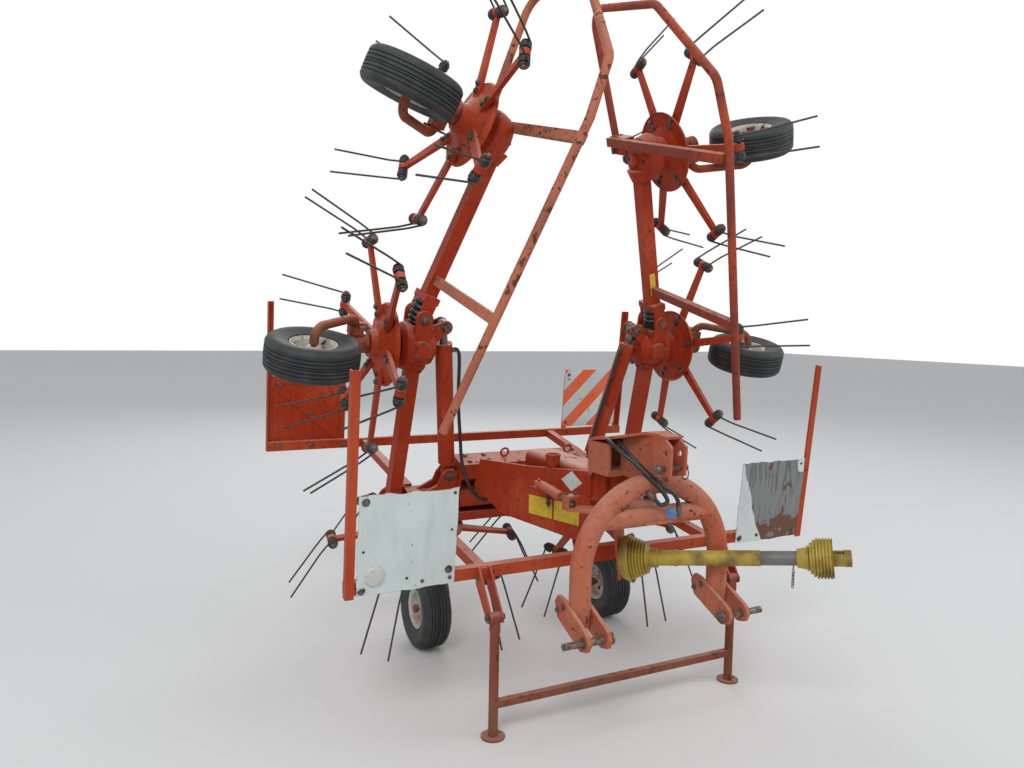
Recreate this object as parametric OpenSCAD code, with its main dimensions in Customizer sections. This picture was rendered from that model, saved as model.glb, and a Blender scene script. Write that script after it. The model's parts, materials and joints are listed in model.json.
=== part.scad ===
// Six-rotor mounted hay tedder, parked with both wings folded up.
// Front, where the tractor couples, is -Y. +X is the left wing as the driver sees it.
// The origin is on the ground under the middle of the machine.

/* [Parked stance] */
// Forward lean of the whole rotor frame on its parking stand, degrees
frame_pitch = 16; // [12:0.5:20]
// Beam axis, distance behind the origin
beam_y = 450; // [430:5:470]
// Beam axis, height over the ground
beam_z = 775; // [740:5:810]
// Inner wings folded up from level, degrees
inner_fold = 92; // [90:0.5:94]
// Outer wings folded in from straight, degrees
outer_fold = 17; // [10:0.5:18]

/* [Rotors] */
// Distance between neighbouring rotor axes
rotor_pitch = 1045; // [1040:5:1060]
// Angle of the first rotor's arms, degrees
rotor_phase = -7; // [-15:1:15]
// Arms on each rotor
arm_count = 6; // [6:1:6]
// Rotor axis to the middle of a tine coil
arm_reach = 487; // [470:1:500]
// Drop of the coils below the beam axis
coil_drop = 224; // [200:1:250]
// Width of an arm at the disc
arm_root_w = 48; // [36:1:60]
// Width of an arm at its tip
arm_tip_w = 30; // [24:1:36]
// Thickness of an arm
arm_t = 20; // [12:1:26]
// Radius of the rotor disc
disc_r = 200; // [180:1:215]
// Drop of the disc's rim below the beam axis
disc_drop = 150; // [140:1:160]
// Radius of the fixed spindle that carries a rotor
spindle_r = 32; // [26:0.5:36]

/* [Tines] */
// Wire of the spring tines
wire_d = 9.5; // [8:0.5:11]
// Outside radius of a coil
coil_r = 26; // [22:0.5:30]
// Turns in each of the two coils
coil_turns = 4; // [3:1:5]
// Length of a tine leg from its coil to its tip
leg_len = 350; // [300:5:380]
// Length of a leg up to its bend
leg_bend = 80; // [60:5:100]
// Slope of the tine legs below the rotor's plane, degrees
leg_slope = 56; // [50:1:62]

/* [Wheels] */
// Radius of the tyres
tyre_r = 205; // [195:1:215]
// Width of the tyres
tyre_w = 150; // [140:1:160]
// Radius of the rims
rim_r = 102; // [95:1:110]
// Wheels stand this far in front of their rotor's axis
wheel_lead = 200; // [180:5:220]
// Radius of the bent wheel leg tube
axle_tube_r = 20; // [17:0.5:22]
// Radius of the stub that a wheel turns on
stub_r = 12; // [10:0.5:15]

/* [Wings] */
// Middle of the machine to the wing hinges
hinge_x = 725; // [715:5:735]
// Wing hinge to outer hinge
inner_len = 995; // [980:5:1010]
// Width and height of the centre beam
beam_size = 90; // [84:1:92]
// Width and height of the wing beams
wing_beam = 66; // [60:1:72]
// Radius of the hinge pins
hinge_pin_r = 15; // [12:0.5:18]
// Middle of the machine to the lower eye of a folding cylinder
cylinder_x = 440; // [436:1:446]
// Height of that eye over the beam axis
cylinder_lift = 140; // [130:1:150]
// Wing hinge to the cylinder's upper eye, along the wing
rod_eye_x = 950; // [940:1:955]
// Height of the upper eye over the wing's axis
rod_eye_lift = 132; // [125:1:140]
// Radius of the folding cylinders
barrel_r = 43; // [38:0.5:45]
// Radius of their rods
rod_r = 20; // [16:0.5:24]

/* [Guards] */
// Radius of the guard tubes
guard_r = 19; // [16:0.5:21]
// Guards run this far in front of the wing beams
guard_reach = 688; // [682:1:691]
// Guards start this far before the outer hinge
guard_start = 325; // [300:5:340]
// Outer hinge to the far end of the guards
guard_far = 1600; // [1580:5:1610]

/* [Headstock] */
// Swivel pin, distance in front of the origin
swivel_y = 525; // [515:5:535]
// Arch, distance in front of the origin
arch_y = 785; // [775:5:795]
// Middle of the machine to the middle of an arch leg
arch_r = 352; // [345:1:360]
// Radius of the arch tube
arch_tube_r = 44.5; // [40:0.5:48]
// Height of the middle of the arch's half circle
arch_z = 700; // [690:1:710]
// Height of the cross tube's axis
cross_z = 915; // [900:1:925]
// Radius of the cross tube
cross_r = 41; // [36:0.5:43]
// Radius of the lower link pins, category 2
link_pin_r = 14; // [14:0.1:14.4]
// Free length of a lower link pin
link_pin_len = 90; // [80:1:100]
// Radius of its shank in the ears
link_shank_r = 16; // [15:0.5:18]
// Height of the lower link pins
link_pin_z = 479; // [460:1:490]
// Radius of the top link bores, category 2
top_bore_r = 12.85; // [12.7:0.05:13]
// Height of the upper top link bore
top_bore_z = 1192; // [1180:1:1200]
// Radius of the swivel pin
swivel_r = 25; // [20:0.5:28]

/* [Driveline] */
// Angle of the parked driveline to the side, degrees
drive_yaw = 42; // [36:0.5:42.5]
// Rise of the parked driveline, degrees
drive_rise = 7; // [5:0.5:8]
// Radius of the driveline's outer guard tube
drive_r = 33; // [30:0.5:35]
// Length of the driveline from the swivel to its yoke
drive_len = 975; // [930:5:990]
// Length of the inner tube that shows between the guards
bare_len = 145; // [120:5:170]
// Radius of the yoke's bore for a 35 mm tractor shaft
pto_bore_r = 17.5; // [17.4:0.05:17.6]
// Height of the driveline's joint under the swivel
drive_z = 662; // [655:1:668]

/* [Rails and boards] */
// Square section of the front and rear rails
rail_s = 50; // [40:1:55]
// Half the length of the rails
rail_half = 1215; // [1205:1:1225]
// Height of the front rail's axis
front_rail_z = 655; // [650:1:665]
// Front rail, distance in front of the origin
front_rail_y = 430; // [425:1:440]
// Height of the rear rail's axis
rear_rail_z = 967; // [955:1:975]
// Rear rail, distance behind the origin
rear_rail_y = 1238; // [1230:1:1245]
// Side of the square boards
board_s = 423; // [400:1:430]
// Thickness of the boards
board_t = 3; // [2:0.5:4]
// Lean of the posts and boards towards the front, degrees
post_lean = 5.6; // [4:0.1:7]
// Height of the front posts
front_post_h = 905; // [880:5:920]
// Height of the rear posts
rear_post_h = 860; // [840:5:880]
// Width of the angle iron of the posts
angle_w = 35; // [32:1:38]
// Thickness of the angle iron
angle_t = 6; // [4:0.5:8]

/* [Parking stand] */
// Middle of the machine to a stand leg
stand_x = 630; // [615:1:640]
// Stand pivot, distance in front of the origin
stand_y = 585; // [578:1:592]
// Height of the stand's pivot
stand_z = 505; // [500:1:515]
// Radius of the stand legs
stand_r = 20; // [18:0.5:22]
// Height of the stand's cross bar
stand_bar_z = 140; // [130:1:150]
// Radius of the stand's feet
foot_r = 50; // [40:1:55]

/* [Hidden] */
$fn = 48;
paint = "#c9452c";
faded = "#cf6a50";
steel = "#6d665f";
black = "#26282a";
guard_yellow = "#b9a02c";
// Clearances: a turning fit, a seated fit, beside an eye, and between moving pieces
turn_gap = 0.05;
seat_gap = 0.3;
side_gap = 1;
room = 6;

// Rotor rows from the photo's left: side (-1 or 1), wing (0 centre, 1 inner, 2 outer)
ROTORS = [[-1, 2], [-1, 1], [-1, 0], [1, 0], [1, 1], [1, 2]];
function rotor_side(i) = ROTORS[i][0];
function rotor_wing(i) = ROTORS[i][1];
// Neighbours turn against each other, half an arm space out of step
function rotor_angle(i) =
    rotor_side(i) * (i % 2 == 0 ? rotor_phase : 180 / arm_count - rotor_phase);

// Wheels by wing: shift away from their rotor's axis, side of the bent leg
WHEELS = [[30, -1], [0, 1], [0, -1]];
function wheel_shift(i) = WHEELS[rotor_wing(i)][0];
function wheel_leg_side(i) = WHEELS[rotor_wing(i)][1];

inner_rotor_x = 1.5 * rotor_pitch - hinge_x;
outer_rotor_x = 2.5 * rotor_pitch - hinge_x - inner_len;
// The wheels' drop puts the centre pair on the ground
wheel_drop = (beam_z - wheel_lead * sin(frame_pitch) - tyre_r) / cos(frame_pitch);
gearbox_foot = 92;
hub_top = gearbox_foot + room - 1;
hub_foot = 232;
bracket_top = hub_foot + room;
bracket_foot = 330;
beam_half = beam_size / 2;
wing_half = wing_beam / 2;
lug_t = 14;
eye_pin_r = 15;
eye_gap = 56;

// Places a piece in the leaning rotor frame, on the beam axis
module machine() translate([0, beam_y, beam_z]) rotate([frame_pitch, 0, 0]) children();

// Mirrors a piece drawn for the right of the photo to the given side
module on_side(side) mirror([side < 0 ? 1 : 0, 0, 0]) children();

module inner_wing(side)
    on_side(side) machine() translate([hinge_x, 0, 0]) rotate([0, -inner_fold, 0]) children();

module outer_wing(side)
    inner_wing(side) translate([inner_len, 0, 0]) rotate([0, -outer_fold, 0]) children();

// Places a piece on the axis of rotor i, level with the beam
module at_rotor(i) {
    side = rotor_side(i);
    if (rotor_wing(i) == 0)
        on_side(side) machine() translate([rotor_pitch / 2, 0, 0]) children();
    else if (rotor_wing(i) == 1)
        inner_wing(side) translate([inner_rotor_x, 0, 0]) children();
    else
        outer_wing(side) translate([outer_rotor_x, 0, 0]) children();
}

// A square bar between two points, w wide and h high
module bar(a, b, w, h) {
    d = b - a;
    len = norm(d);
    translate(a)
        rotate([0, acos(d[2] / len), atan2(d[1], d[0])])
            translate([-h / 2, -w / 2, 0]) cube([h, w, len]);
}

// A cylinder along X, centred
module pin_x(r, len) rotate([0, 90, 0]) cylinder(h = len, r = r, center = true);

// A cylinder along Y, centred
module pin_y(r, len) rotate([90, 0, 0]) cylinder(h = len, r = r, center = true);

// A box from its least and greatest corners
module box(low, high) translate(low) cube(high - low);

// A plate across X, its outline given in Y and Z
module plate_x(t) rotate([90, 0, 90]) linear_extrude(t, center = true) children();

// Two upright plates across Y with a gap between, the outline in XZ
module plate_pair(gap, t)
    for (s = [-1, 1])
        translate([0, s * (gap + t) / 2, 0])
            rotate([90, 0, 0]) linear_extrude(t, center = true) children();

// A tube in the XY plane through the points, with round bends
module bent_tube(points, r, bend) {
    last = len(points) - 1;
    // Bends reach this far into the straights and stand proud of them, so they join
    lap = 2;
    swell = 0.2;
    function turn(i) =
        let (a = points[i] - points[i - 1], b = points[i + 1] - points[i])
            atan2(a[0] * b[1] - a[1] * b[0], a[0] * b[0] + a[1] * b[1]);
    function trim(i) = i == 0 || i == last ? 0 : bend * tan(abs(turn(i)) / 2);
    function unit(i) = (points[i + 1] - points[i]) / norm(points[i + 1] - points[i]);
    for (i = [0:last - 1]) {
        u = unit(i);
        start = points[i] + u * trim(i);
        length = norm(points[i + 1] - points[i]) - trim(i) - trim(i + 1);
        translate([start[0], start[1], 0])
            rotate([0, 90, atan2(u[1], u[0])]) cylinder(h = length, r = r);
    }
    for (i = [1:last - 1]) {
        side = turn(i) > 0 ? 1 : -1;
        u = unit(side > 0 ? i - 1 : i);
        begin = side > 0 ? points[i] - u * trim(i) : points[i] + u * trim(i);
        normal = side > 0 ? [-u[1], u[0]] : [u[1], -u[0]];
        middle = begin + normal * bend;
        out = begin - middle;
        translate([middle[0], middle[1], 0])
            rotate([0, 0, atan2(out[1], out[0]) - lap])
                rotate_extrude(angle = abs(turn(i)) + 2 * lap)
                    translate([bend, 0]) circle(r = r + swell);
    }
}

// Centre frame

centre_end = hinge_x - 78;
hinge_gap = 110;
hinge_lug_r = 52;
cheek_len = 48;
box_half = 390;
box_front = -70;
box_back = 65;
box_low = -115;
box_high = 215;
sheet_t = 8;

module centre_box() {
    // Open-fronted box of sheet round the beam
    box([-box_half, box_front, box_high - sheet_t], [box_half, box_back, box_high]);
    box([-box_half, box_front, box_low], [box_half, box_back, box_low + sheet_t]);
    box([-box_half, box_back - sheet_t, box_low], [box_half, box_back, box_high]);
    box([-box_half, box_front, box_high - 85], [box_half, box_front + sheet_t, box_high]);
    box([-box_half, box_front, box_low], [box_half, box_front + sheet_t, box_low + 50]);
    for (s = [-1, 1]) on_side(s)
        box([box_half - sheet_t, box_front, box_low], [box_half, box_back, box_high]);
}

module centre_frame() color(paint) machine() {
    box([-centre_end, -beam_half, -beam_half], [centre_end, beam_half, beam_half]);
    centre_box();
    for (s = [-1, 1]) on_side(s) {
        // Cheeks, lugs and pin of the wing hinge
        box([centre_end - cheek_len, -hinge_gap / 2 - lug_t, -beam_half],
            [centre_end, hinge_gap / 2 + lug_t, beam_half]);
        translate([hinge_x, 0, 0]) {
            plate_pair(hinge_gap, lug_t) {
                circle(r = hinge_lug_r);
                translate([centre_end - 5 - hinge_x, -hinge_lug_r])
                    square([hinge_x - centre_end + 5, 2 * hinge_lug_r]);
            }
            pin_y(hinge_pin_r, hinge_gap + 2 * lug_t + 24);
        }
        // Gussets and pin of the folding cylinder's lower eye
        translate([cylinder_x, 0, cylinder_lift]) {
            plate_pair(eye_gap, lug_t)
                polygon([[-48, -97], [-45, 20], [-18, 38], [18, 38], [45, 0], [60, -48],
                    [150, -97]]);
            pin_y(eye_pin_r, eye_gap + 2 * lug_t + 16);
        }
    }
}

// The plates in front of the box that carry the swivel post

nose_half = 62;
nose_back = 330;
plate_t = 12;
post_low = 905;
post_high = 1045;

module nose_plate() {
    back = [nose_back, beam_y];
    run = [nose_half, 40 - swivel_y] - back;
    length = norm(run);
    translate([back[0], back[1], 0])
        rotate([90, 0, atan2(run[1], run[0])]) linear_extrude(plate_t)
            polygon([[0, 890], [0, 985], [0.5 * length, 1005], [length - 60, 1040],
                [length, 1040], [length, post_low + 7], [length - 70, post_low + 7],
                [length - 70, 855], [length - 47, 855], [length - 47, 700],
                [0.32 * length, 735]]);
}

module nose_frame() color(paint) {
    difference() {
        for (s = [-1, 1]) on_side(s) nose_plate();
        machine()
            box([-box_half - 1, box_front - seat_gap, box_low], [box_half + 1, 200, 300]);
    }
    translate([0, -swivel_y, 0]) difference() {
        union() {
            translate([0, 0, post_low]) cylinder(h = post_high - post_low, r = 48);
            box([-nose_half - 6, 0, post_low + 7], [nose_half + 6, 120, post_high - 5]);
        }
        translate([0, 0, post_low - 1])
            cylinder(h = post_high - post_low + 2, r = swivel_r + turn_gap);
    }
    // Cover over the swivel locking gear
    translate([0, 90 - swivel_y, 0]) rotate([90, 0, 0]) translate([0, 0, -620])
        linear_extrude(620) {
            translate([-92, 930]) square([184, 80]);
            translate([-52, 930]) square([104, 120]);
            for (s = [-1, 1]) translate([52 * s, 1010]) circle(r = 40);
        }
    // Brackets and pins of the dampers
    for (s = [-1, 1]) on_side(s) {
        box([140, damper_frame[1] - 24, damper_frame[2] - 30],
            [damper_frame[0] + 22, damper_frame[1] + 24, damper_frame[2] - 18]);
        translate([damper_frame[0], damper_frame[1], damper_frame[2] - 24])
            cylinder(h = 44, r = 8);
    }
}

// Castings over the centre rotors

module centre_gearboxes() color(paint)
    for (i = [2, 3]) at_rotor(i) {
        rotate_extrude() polygon([
            [0, -gearbox_foot], [88, -gearbox_foot], [112, -72], [116, -60],
            [116, -beam_half], [0, -beam_half]]);
        for (s = [-1, 1])
            translate([0, s * (beam_half + 15), 0])
                box([-66, -15 + seat_gap / 2, -beam_half - 10], [66, 15, beam_half - 5]);
    }

// Rails, posts and boards

bar_s = 44;
flange_y = 0.5;

// Leaning frame of the front posts and boards, its XZ plane just inside the rail's face
module front_lean()
    translate([0, flange_y - front_rail_y - rail_s / 2, front_rail_z + rail_s / 2])
        rotate([post_lean, 0, 0]) translate([0, 0, -front_rail_z - rail_s / 2]) children();

module rear_lean()
    translate([0, rear_rail_y + rail_s / 2 - flange_y, rear_rail_z - rail_s / 2])
        rotate([post_lean, 0, 0]) translate([0, 0, -rear_rail_z + rail_s / 2]) children();

post_x = rail_half - angle_w;

module front_rail() color(paint) {
    rail_end = rail_half - angle_t / 2;
    box([-rail_end, -front_rail_y - rail_s / 2, front_rail_z - rail_s / 2],
        [rail_end, -front_rail_y + rail_s / 2, front_rail_z + rail_s / 2]);
    // Saddle under the nose plates
    box([-105, -front_rail_y - rail_s / 2, front_rail_z],
        [105, -front_rail_y + rail_s / 2, 700]);
    front_lean() for (s = [-1, 1]) on_side(s) {
        box([post_x, -angle_t, 615], [rail_half, 0, 615 + front_post_h]);
        box([rail_half - angle_t, -angle_t, 615],
            [rail_half, angle_w - angle_t, 615 + front_post_h]);
        for (x = [post_x - board_s + 25, post_x - 55])
            box([x, -angle_t, 632], [x + 30, 0, 1030]);
    }
    for (s = [-1, 1]) on_side(s) {
        difference() {
            bar([620, -front_rail_y, front_rail_z], [620, beam_y, beam_z], bar_s, bar_s);
            machine()
                box([500, -hinge_gap / 2 - lug_t - seat_gap, -200], [700, 200, 200]);
        }
        stand_fork();
    }
}

module stand_fork() translate([stand_x, -stand_y, stand_z]) {
    back = stand_y - front_rail_y - rail_s / 2;
    rise = front_rail_z - stand_z;
    for (s = [-1, 1])
        translate([s * 25, 0, 0])
            plate_x(8)
                polygon([[-24, -18], [12, -26], [30, -8], [back + 2, rise - 45],
                    [back + 2, rise + 25], [back - 25, rise + 30], [-14, 22], [-26, 6]]);
    pin_x(10, 78);
    // Web between the straps, clear of the leg's knuckle
    translate([0, back - 12, rise]) box([-28, 0, -30], [28, 14, 22]);
}

module rear_rail() color(paint) {
    rail_end = rail_half - angle_t / 2;
    box([-rail_end, rear_rail_y - rail_s / 2, rear_rail_z - rail_s / 2],
        [rail_end, rear_rail_y + rail_s / 2, rear_rail_z + rail_s / 2]);
    rear_lean() for (s = [-1, 1]) on_side(s) {
        box([post_x, 0, 942], [rail_half, angle_t, 942 + rear_post_h]);
        box([rail_half - angle_t, angle_t - angle_w, 942],
            [rail_half, angle_t, 942 + rear_post_h]);
        box([post_x - board_s, 0, 950], [post_x - board_s + 34, angle_t, 1360]);
        box([post_x - board_s, 0, 1330], [post_x + 2, angle_t, 1360]);
    }
    // Brace across the back of the left panel
    rear_lean()
        bar([-post_x - 2, angle_t / 2, 1340], [-post_x + board_s - 10, angle_t / 2, 975],
            angle_t, 40);
    for (s = [-1, 1]) on_side(s)
        difference() {
            bar([640, rear_rail_y, rear_rail_z], [620, beam_y, beam_z + 40], bar_s, bar_s);
            machine()
                box([500, -200, -200], [700, hinge_gap / 2 + lug_t + seat_gap, 200]);
        }
}

module front_boards() color("#c8cdce")
    for (s = [-1, 1]) on_side(s) front_lean()
        box([post_x - 1 - board_s, -angle_t - board_t, 622],
            [post_x - 1, -angle_t, 622 + board_s]);

module rear_boards() color("#d8d0c8") {
    on_side(-1) rear_lean()
        box([post_x - board_s, angle_t, 950], [post_x + 20, angle_t + board_t, 1373]);
    on_side(1) rear_lean()
        box([post_x - board_s, -board_t, 1000], [post_x + 2, 0, 1395]);
}

// Parking stand

module stand() color(faded) translate([0, -stand_y, 0]) {
    for (s = [-1, 1]) translate([s * stand_x, 0, 0]) {
        difference() {
            union() {
                translate([0, 0, 7]) cylinder(h = stand_z - 47, r = stand_r);
                translate([0, 0, stand_z]) pin_x(23, 40);
                box([-17, -17, stand_z - 60], [17, 17, stand_z]);
            }
            translate([0, 0, stand_z]) pin_x(10 + turn_gap, 50);
        }
        cylinder(h = 8, r = foot_r);
    }
    box([-stand_x, -15, stand_bar_z - 15], [stand_x, 15, stand_bar_z + 15]);
}

// Headstock, drawn from the swivel axis

arch_lead = arch_y - swivel_y;
link_y = -381;
ear_t = 12;
ear_out = arch_r + arch_tube_r + ear_t;
link_hole_r = link_shank_r + seat_gap;
top_y = -374;
head_foot = 870;

module headstock() translate([0, -swivel_y, 0]) children();

module arch() color(faded) headstock() {
    translate([0, -arch_lead, arch_z]) rotate([90, 0, 0])
        rotate_extrude(angle = 180) translate([arch_r, 0]) circle(r = arch_tube_r);
    for (s = [-1, 1]) on_side(s) {
        translate([arch_r, -arch_lead, 500])
            cylinder(h = arch_z - 500 + 0.1, r = arch_tube_r - 0.2);
        difference() {
            // Ears let 6 mm into the tube on either side
            for (x = [arch_r - arch_tube_r - ear_t / 2 + 3, ear_out - ear_t / 2 - 3])
                translate([x, 0, 0])
                    plate_x(ear_t + 6)
                        polygon([[-160, 575], [-182, 515], [-360, 438], [-402, 448],
                            [-418, 482], [-404, 512], [-384, 524], [-222, 600],
                            [-180, 606]]);
            translate([arch_r, link_y, link_pin_z]) pin_x(link_hole_r, 200);
        }
    }
    translate([0, -arch_lead, cross_z])
        pin_x(cross_r, 2 * sqrt(arch_r * arch_r - pow(cross_z - arch_z, 2)));
}

module link_pins() color(steel) headstock()
    for (s = [-1, 1]) on_side(s)
        translate([ear_out, link_y, link_pin_z]) {
            rotate([0, 90, 0]) cylinder(h = link_pin_len, r = link_pin_r);
            rotate([0, -90, 0])
                cylinder(h = 2 * (arch_tube_r + ear_t) + 14, r = link_shank_r);
        }

module swivel_head() color(faded) headstock() {
    // Swivel pin with its upper box and lower plate
    translate([0, 0, head_foot]) cylinder(h = 200, r = swivel_r);
    difference() {
        box([-110, -80, post_high + room - 1], [110, 85, 1190]);
        box([-98, -81, post_high + 30], [98, 73, 1180]);
    }
    translate([0, 0, head_foot]) cylinder(h = 30, r = 58);
    difference() {
        translate([0, 0, 886]) linear_extrude(12)
            polygon([[-240, 84], [-240, 32], [-70, -150], [-70, -300], [70, -300],
                [70, -150], [240, 32], [240, 84], [170, 84], [60, 20], [-60, 20],
                [-170, 84]]);
        translate([0, -arch_lead, cross_z]) pin_x(cross_r + seat_gap, 200);
    }
    // Upper plates of the damper forks
    for (s = [-1, 1]) on_side(s) {
        box([180, 36, 942], [240, 84, 952]);
        box([230, 36, 890], [240, 84, 952]);
    }
    // Top link plates and their cap
    difference() {
        union() {
            for (s = [-1, 1])
                translate([s * 36, 0, 0])
                    plate_x(ear_t)
                        polygon([[-408, 1105], [-412, 1222], [-370, 1250], [-260, 1256],
                            [-90, 1215], [-70, 1190], [-70, 1056], [-200, 1056],
                            [-330, 1090]]);
            intersection() {
                plate_x(230)
                    polygon([[-372, 1249], [-260, 1256], [-90, 1215], [40, 1196],
                        [84, 1180], [84, 1192], [42, 1208], [-88, 1227], [-260, 1268],
                        [-376, 1260]]);
                linear_extrude(1400)
                    polygon([[-42, -380], [-42, -300], [-112, -120], [-112, 90],
                        [112, 90], [112, -120], [42, -300], [42, -380]]);
            }
        }
        for (z = [top_bore_z, top_bore_z - 59])
            translate([0, top_y, z]) pin_x(top_bore_r, 120);
        translate([0, -arch_lead, arch_z]) rotate([90, 0, 0])
            rotate_extrude(angle = 180)
                translate([arch_r, 0]) circle(r = arch_tube_r + seat_gap);
    }
    // Hanger of the driveline
    in_driveline() box([-75, -80, 18], [75, 219, 28]);
}

// Driveline, drawn along Z from the joint under the swivel

module in_driveline()
    translate([0, 0, drive_z]) rotate([0, 0, drive_yaw]) rotate([-drive_rise, 0, 0])
        rotate([90, 0, 0]) children();

cone_foot = 0.785 * drive_len;

tube_end = cone_foot - bare_len;
rib_pitch = 12.5;

// Outline of ribs between two radii, from a height up
function ribs(count, foot, low_r, high_r) =
    [for (i = [0:count - 1], p = [[-8, 0], [0, 3], [0, 8], [-8, 11]])
        [low_r + (high_r - low_r) * i / (count - 1) + p[0], foot + i * rib_pitch + p[1]]];

module drive_guard() color(guard_yellow) headstock() in_driveline() {
    rotate_extrude() polygon(concat(
        [[0, 28], [88, 28], [110, 75], [106, 75], [86, 34], [70, 34]], ribs(6, 64, 98, 66),
        [[40, 146], [40, 180], [drive_r, 184], [drive_r, tube_end], [0, tube_end]]));
    rotate_extrude() polygon(concat(
        [[20 + turn_gap, cone_foot], [38, cone_foot]], ribs(4, cone_foot + 20, 52, 83),
        ribs(5, cone_foot + 20 + 4 * rib_pitch, 83, 83),
        [[83, cone_foot + 140], [72, cone_foot + 140], [68, cone_foot + 60],
        [20 + turn_gap, cone_foot + 50]]));
}

module drive_tube() color("#8b8b86") headstock() in_driveline()
    translate([0, 0, tube_end]) cylinder(h = bare_len, r = drive_r - 3);

module drive_yoke() color(steel) headstock() in_driveline() {
    translate([0, 0, cone_foot + side_gap]) cylinder(h = 80, r = 20);
    translate([0, 0, cone_foot + 70]) cylinder(h = 40, r = 36);
    for (s = [-1, 1])
        translate([s * 29, 0, 0]) box([-7, -24, cone_foot + 100], [7, 24, drive_len - 20]);
    translate([0, 0, drive_len - 40]) pin_x(11, 60);
    translate([0, 0, drive_len - 40]) pin_y(11, 60);
    translate([0, 0, drive_len - 28]) difference() {
        cylinder(h = 28, r = 34);
        translate([0, 0, -1]) cylinder(h = 30, r = pto_bore_r);
    }
}

// Swivel dampers, from an eye on the nose to a fork on the headstock

damper_frame = [225, -200, 955];
damper_head = [205, 60 - swivel_y, 915];
damper_run = damper_head - damper_frame;
damper_len = norm(damper_run);

// Places a piece along a damper, X from its eye on the nose
module along_damper(side)
    on_side(side) translate(damper_frame)
        rotate([0, asin(-damper_run[2] / damper_len), atan2(damper_run[1], damper_run[0])])
            children();

module damper_barrel(side) color(faded) {
    difference() {
        union() {
            on_side(side) translate(damper_frame) cylinder(h = 22, r = 20, center = true);
            along_damper(side)
                rotate([0, 90, 0]) translate([0, 0, 12]) cylinder(h = 30, r = 10);
        }
        on_side(side) translate(damper_frame)
            cylinder(h = 30, r = 8 + turn_gap, center = true);
    }
    along_damper(side) rotate([0, 90, 0]) difference() {
        translate([0, 0, 34]) cylinder(h = 0.56 * damper_len, r = 22);
        translate([0, 0, 60]) cylinder(h = damper_len, r = 10 + turn_gap);
    }
}

module damper_rod(side) color(steel) {
    on_side(side) translate(damper_head) {
        cylinder(h = 22, r = 18, center = true);
    }
    along_damper(side) rotate([0, 90, 0])
        translate([0, 0, 0.45 * damper_len]) cylinder(h = 0.55 * damper_len - 10, r = 10);
}

// Wing beams and the hinge between them

outer_gap = 150;
inner_box = 110;

module inner_beam(side) color(paint) inner_wing(side) difference() {
    union() {
        pin_y(wing_half, hinge_gap - 2 * side_gap);
        box([0, -wing_half, -wing_half], [inner_rotor_x - inner_box, wing_half, wing_half]);
    }
    pin_y(hinge_pin_r + turn_gap, 200);
}

module inner_gearbox(side) color(paint) inner_wing(side) {
    translate([inner_rotor_x, 0, 0]) {
        rotate_extrude() polygon([
            [0, -gearbox_foot], [88, -gearbox_foot], [112, -72], [116, -60], [116, -40],
            [101, -30], [98, 40], [88, 72], [62, 90], [0, 95]]);
        box([-inner_box, -wing_half - 12, -48], [0, wing_half + 12, 48]);
        box([0, -outer_gap / 2 + 1, -42], [inner_box, outer_gap / 2 - 1, 56]);
    }
    // Lugs and pin of the outer hinge
    translate([inner_len, 0, 0]) {
        plate_pair(outer_gap - 2, lug_t) {
            circle(r = 42);
            translate([-130, -42]) square([130, 84]);
        }
        pin_y(hinge_pin_r, outer_gap + 2 * lug_t + 20);
    }
    // Lugs that the folding cylinder's upper eye sits in
    translate([rod_eye_x, 0, rod_eye_lift])
        plate_pair(eye_gap, lug_t)
            difference() {
                union() {
                    circle(r = 34);
                    polygon([[-90, -50], [-34, 0], [34, 0], [2, -80], [-60, -80]]);
                }
                circle(r = eye_pin_r + seat_gap);
            }
}

module outer_beam(side) color(paint) outer_wing(side) {
    difference() {
        union() {
            for (s = [-1, 1])
                translate([0, s * (outer_gap / 2 - 10), 0]) pin_y(38, lug_t);
            for (s = [-1, 1])
                translate([0, s * (outer_gap / 2 - 10), 0])
                    box([0, -lug_t / 2, -32], [110, lug_t / 2, 32]);
        }
        pin_y(hinge_pin_r + turn_gap, 300);
    }
    box([78, -outer_gap / 2 + 3, -38], [112, outer_gap / 2 - 3, 38]);
    box([78, -wing_half, -wing_half], [outer_rotor_x - 110, wing_half, wing_half]);
}

guard_seat = 176;

module outer_gearbox(side) color(paint) outer_wing(side)
    translate([outer_rotor_x, 0, 0]) {
        rotate_extrude() polygon([
            [0, -gearbox_foot], [88, -gearbox_foot], [112, -72], [116, -60], [116, -40],
            [106, 0], [84, 26], [0, 34]]);
        translate([-110, 0, 0]) rotate([0, 90, 0]) cylinder(h = 60, r1 = 50, r2 = 72);
        // Seat of the guard's pad
        box([12, 80, -26], [102, guard_seat, 30]);
    }

// Guards round the outer rotors

guard_arm_1 = 186;
guard_arm_2 = outer_rotor_x + 80;

module wing_guard(side) color(faded) outer_wing(side) {
    bent_tube([[-guard_start, -guard_reach], [guard_far - 550, -guard_reach],
        [guard_far - 300, 65 - guard_reach], [guard_far, 468 - guard_reach],
        [guard_far, 324], [outer_rotor_x + 36, guard_seat + 26]], guard_r, 90);
    box([guard_arm_1 - 22, -guard_reach, -16], [guard_arm_1 + 22, -wing_half, 16]);
    // The outer arm lies over the casting and ends in the pad that is bolted to its back
    bar([guard_arm_2, 12 - guard_reach, 17], [guard_arm_2, guard_seat + 18, 54], 44, 32);
    box([outer_rotor_x + 14, guard_seat, -22], [guard_arm_2 + 25, guard_seat + 24, 42]);
    box([outer_rotor_x + 14, guard_seat, -22], [outer_rotor_x + 64, guard_seat + 48, 22]);
}

// Folding cylinders

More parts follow.
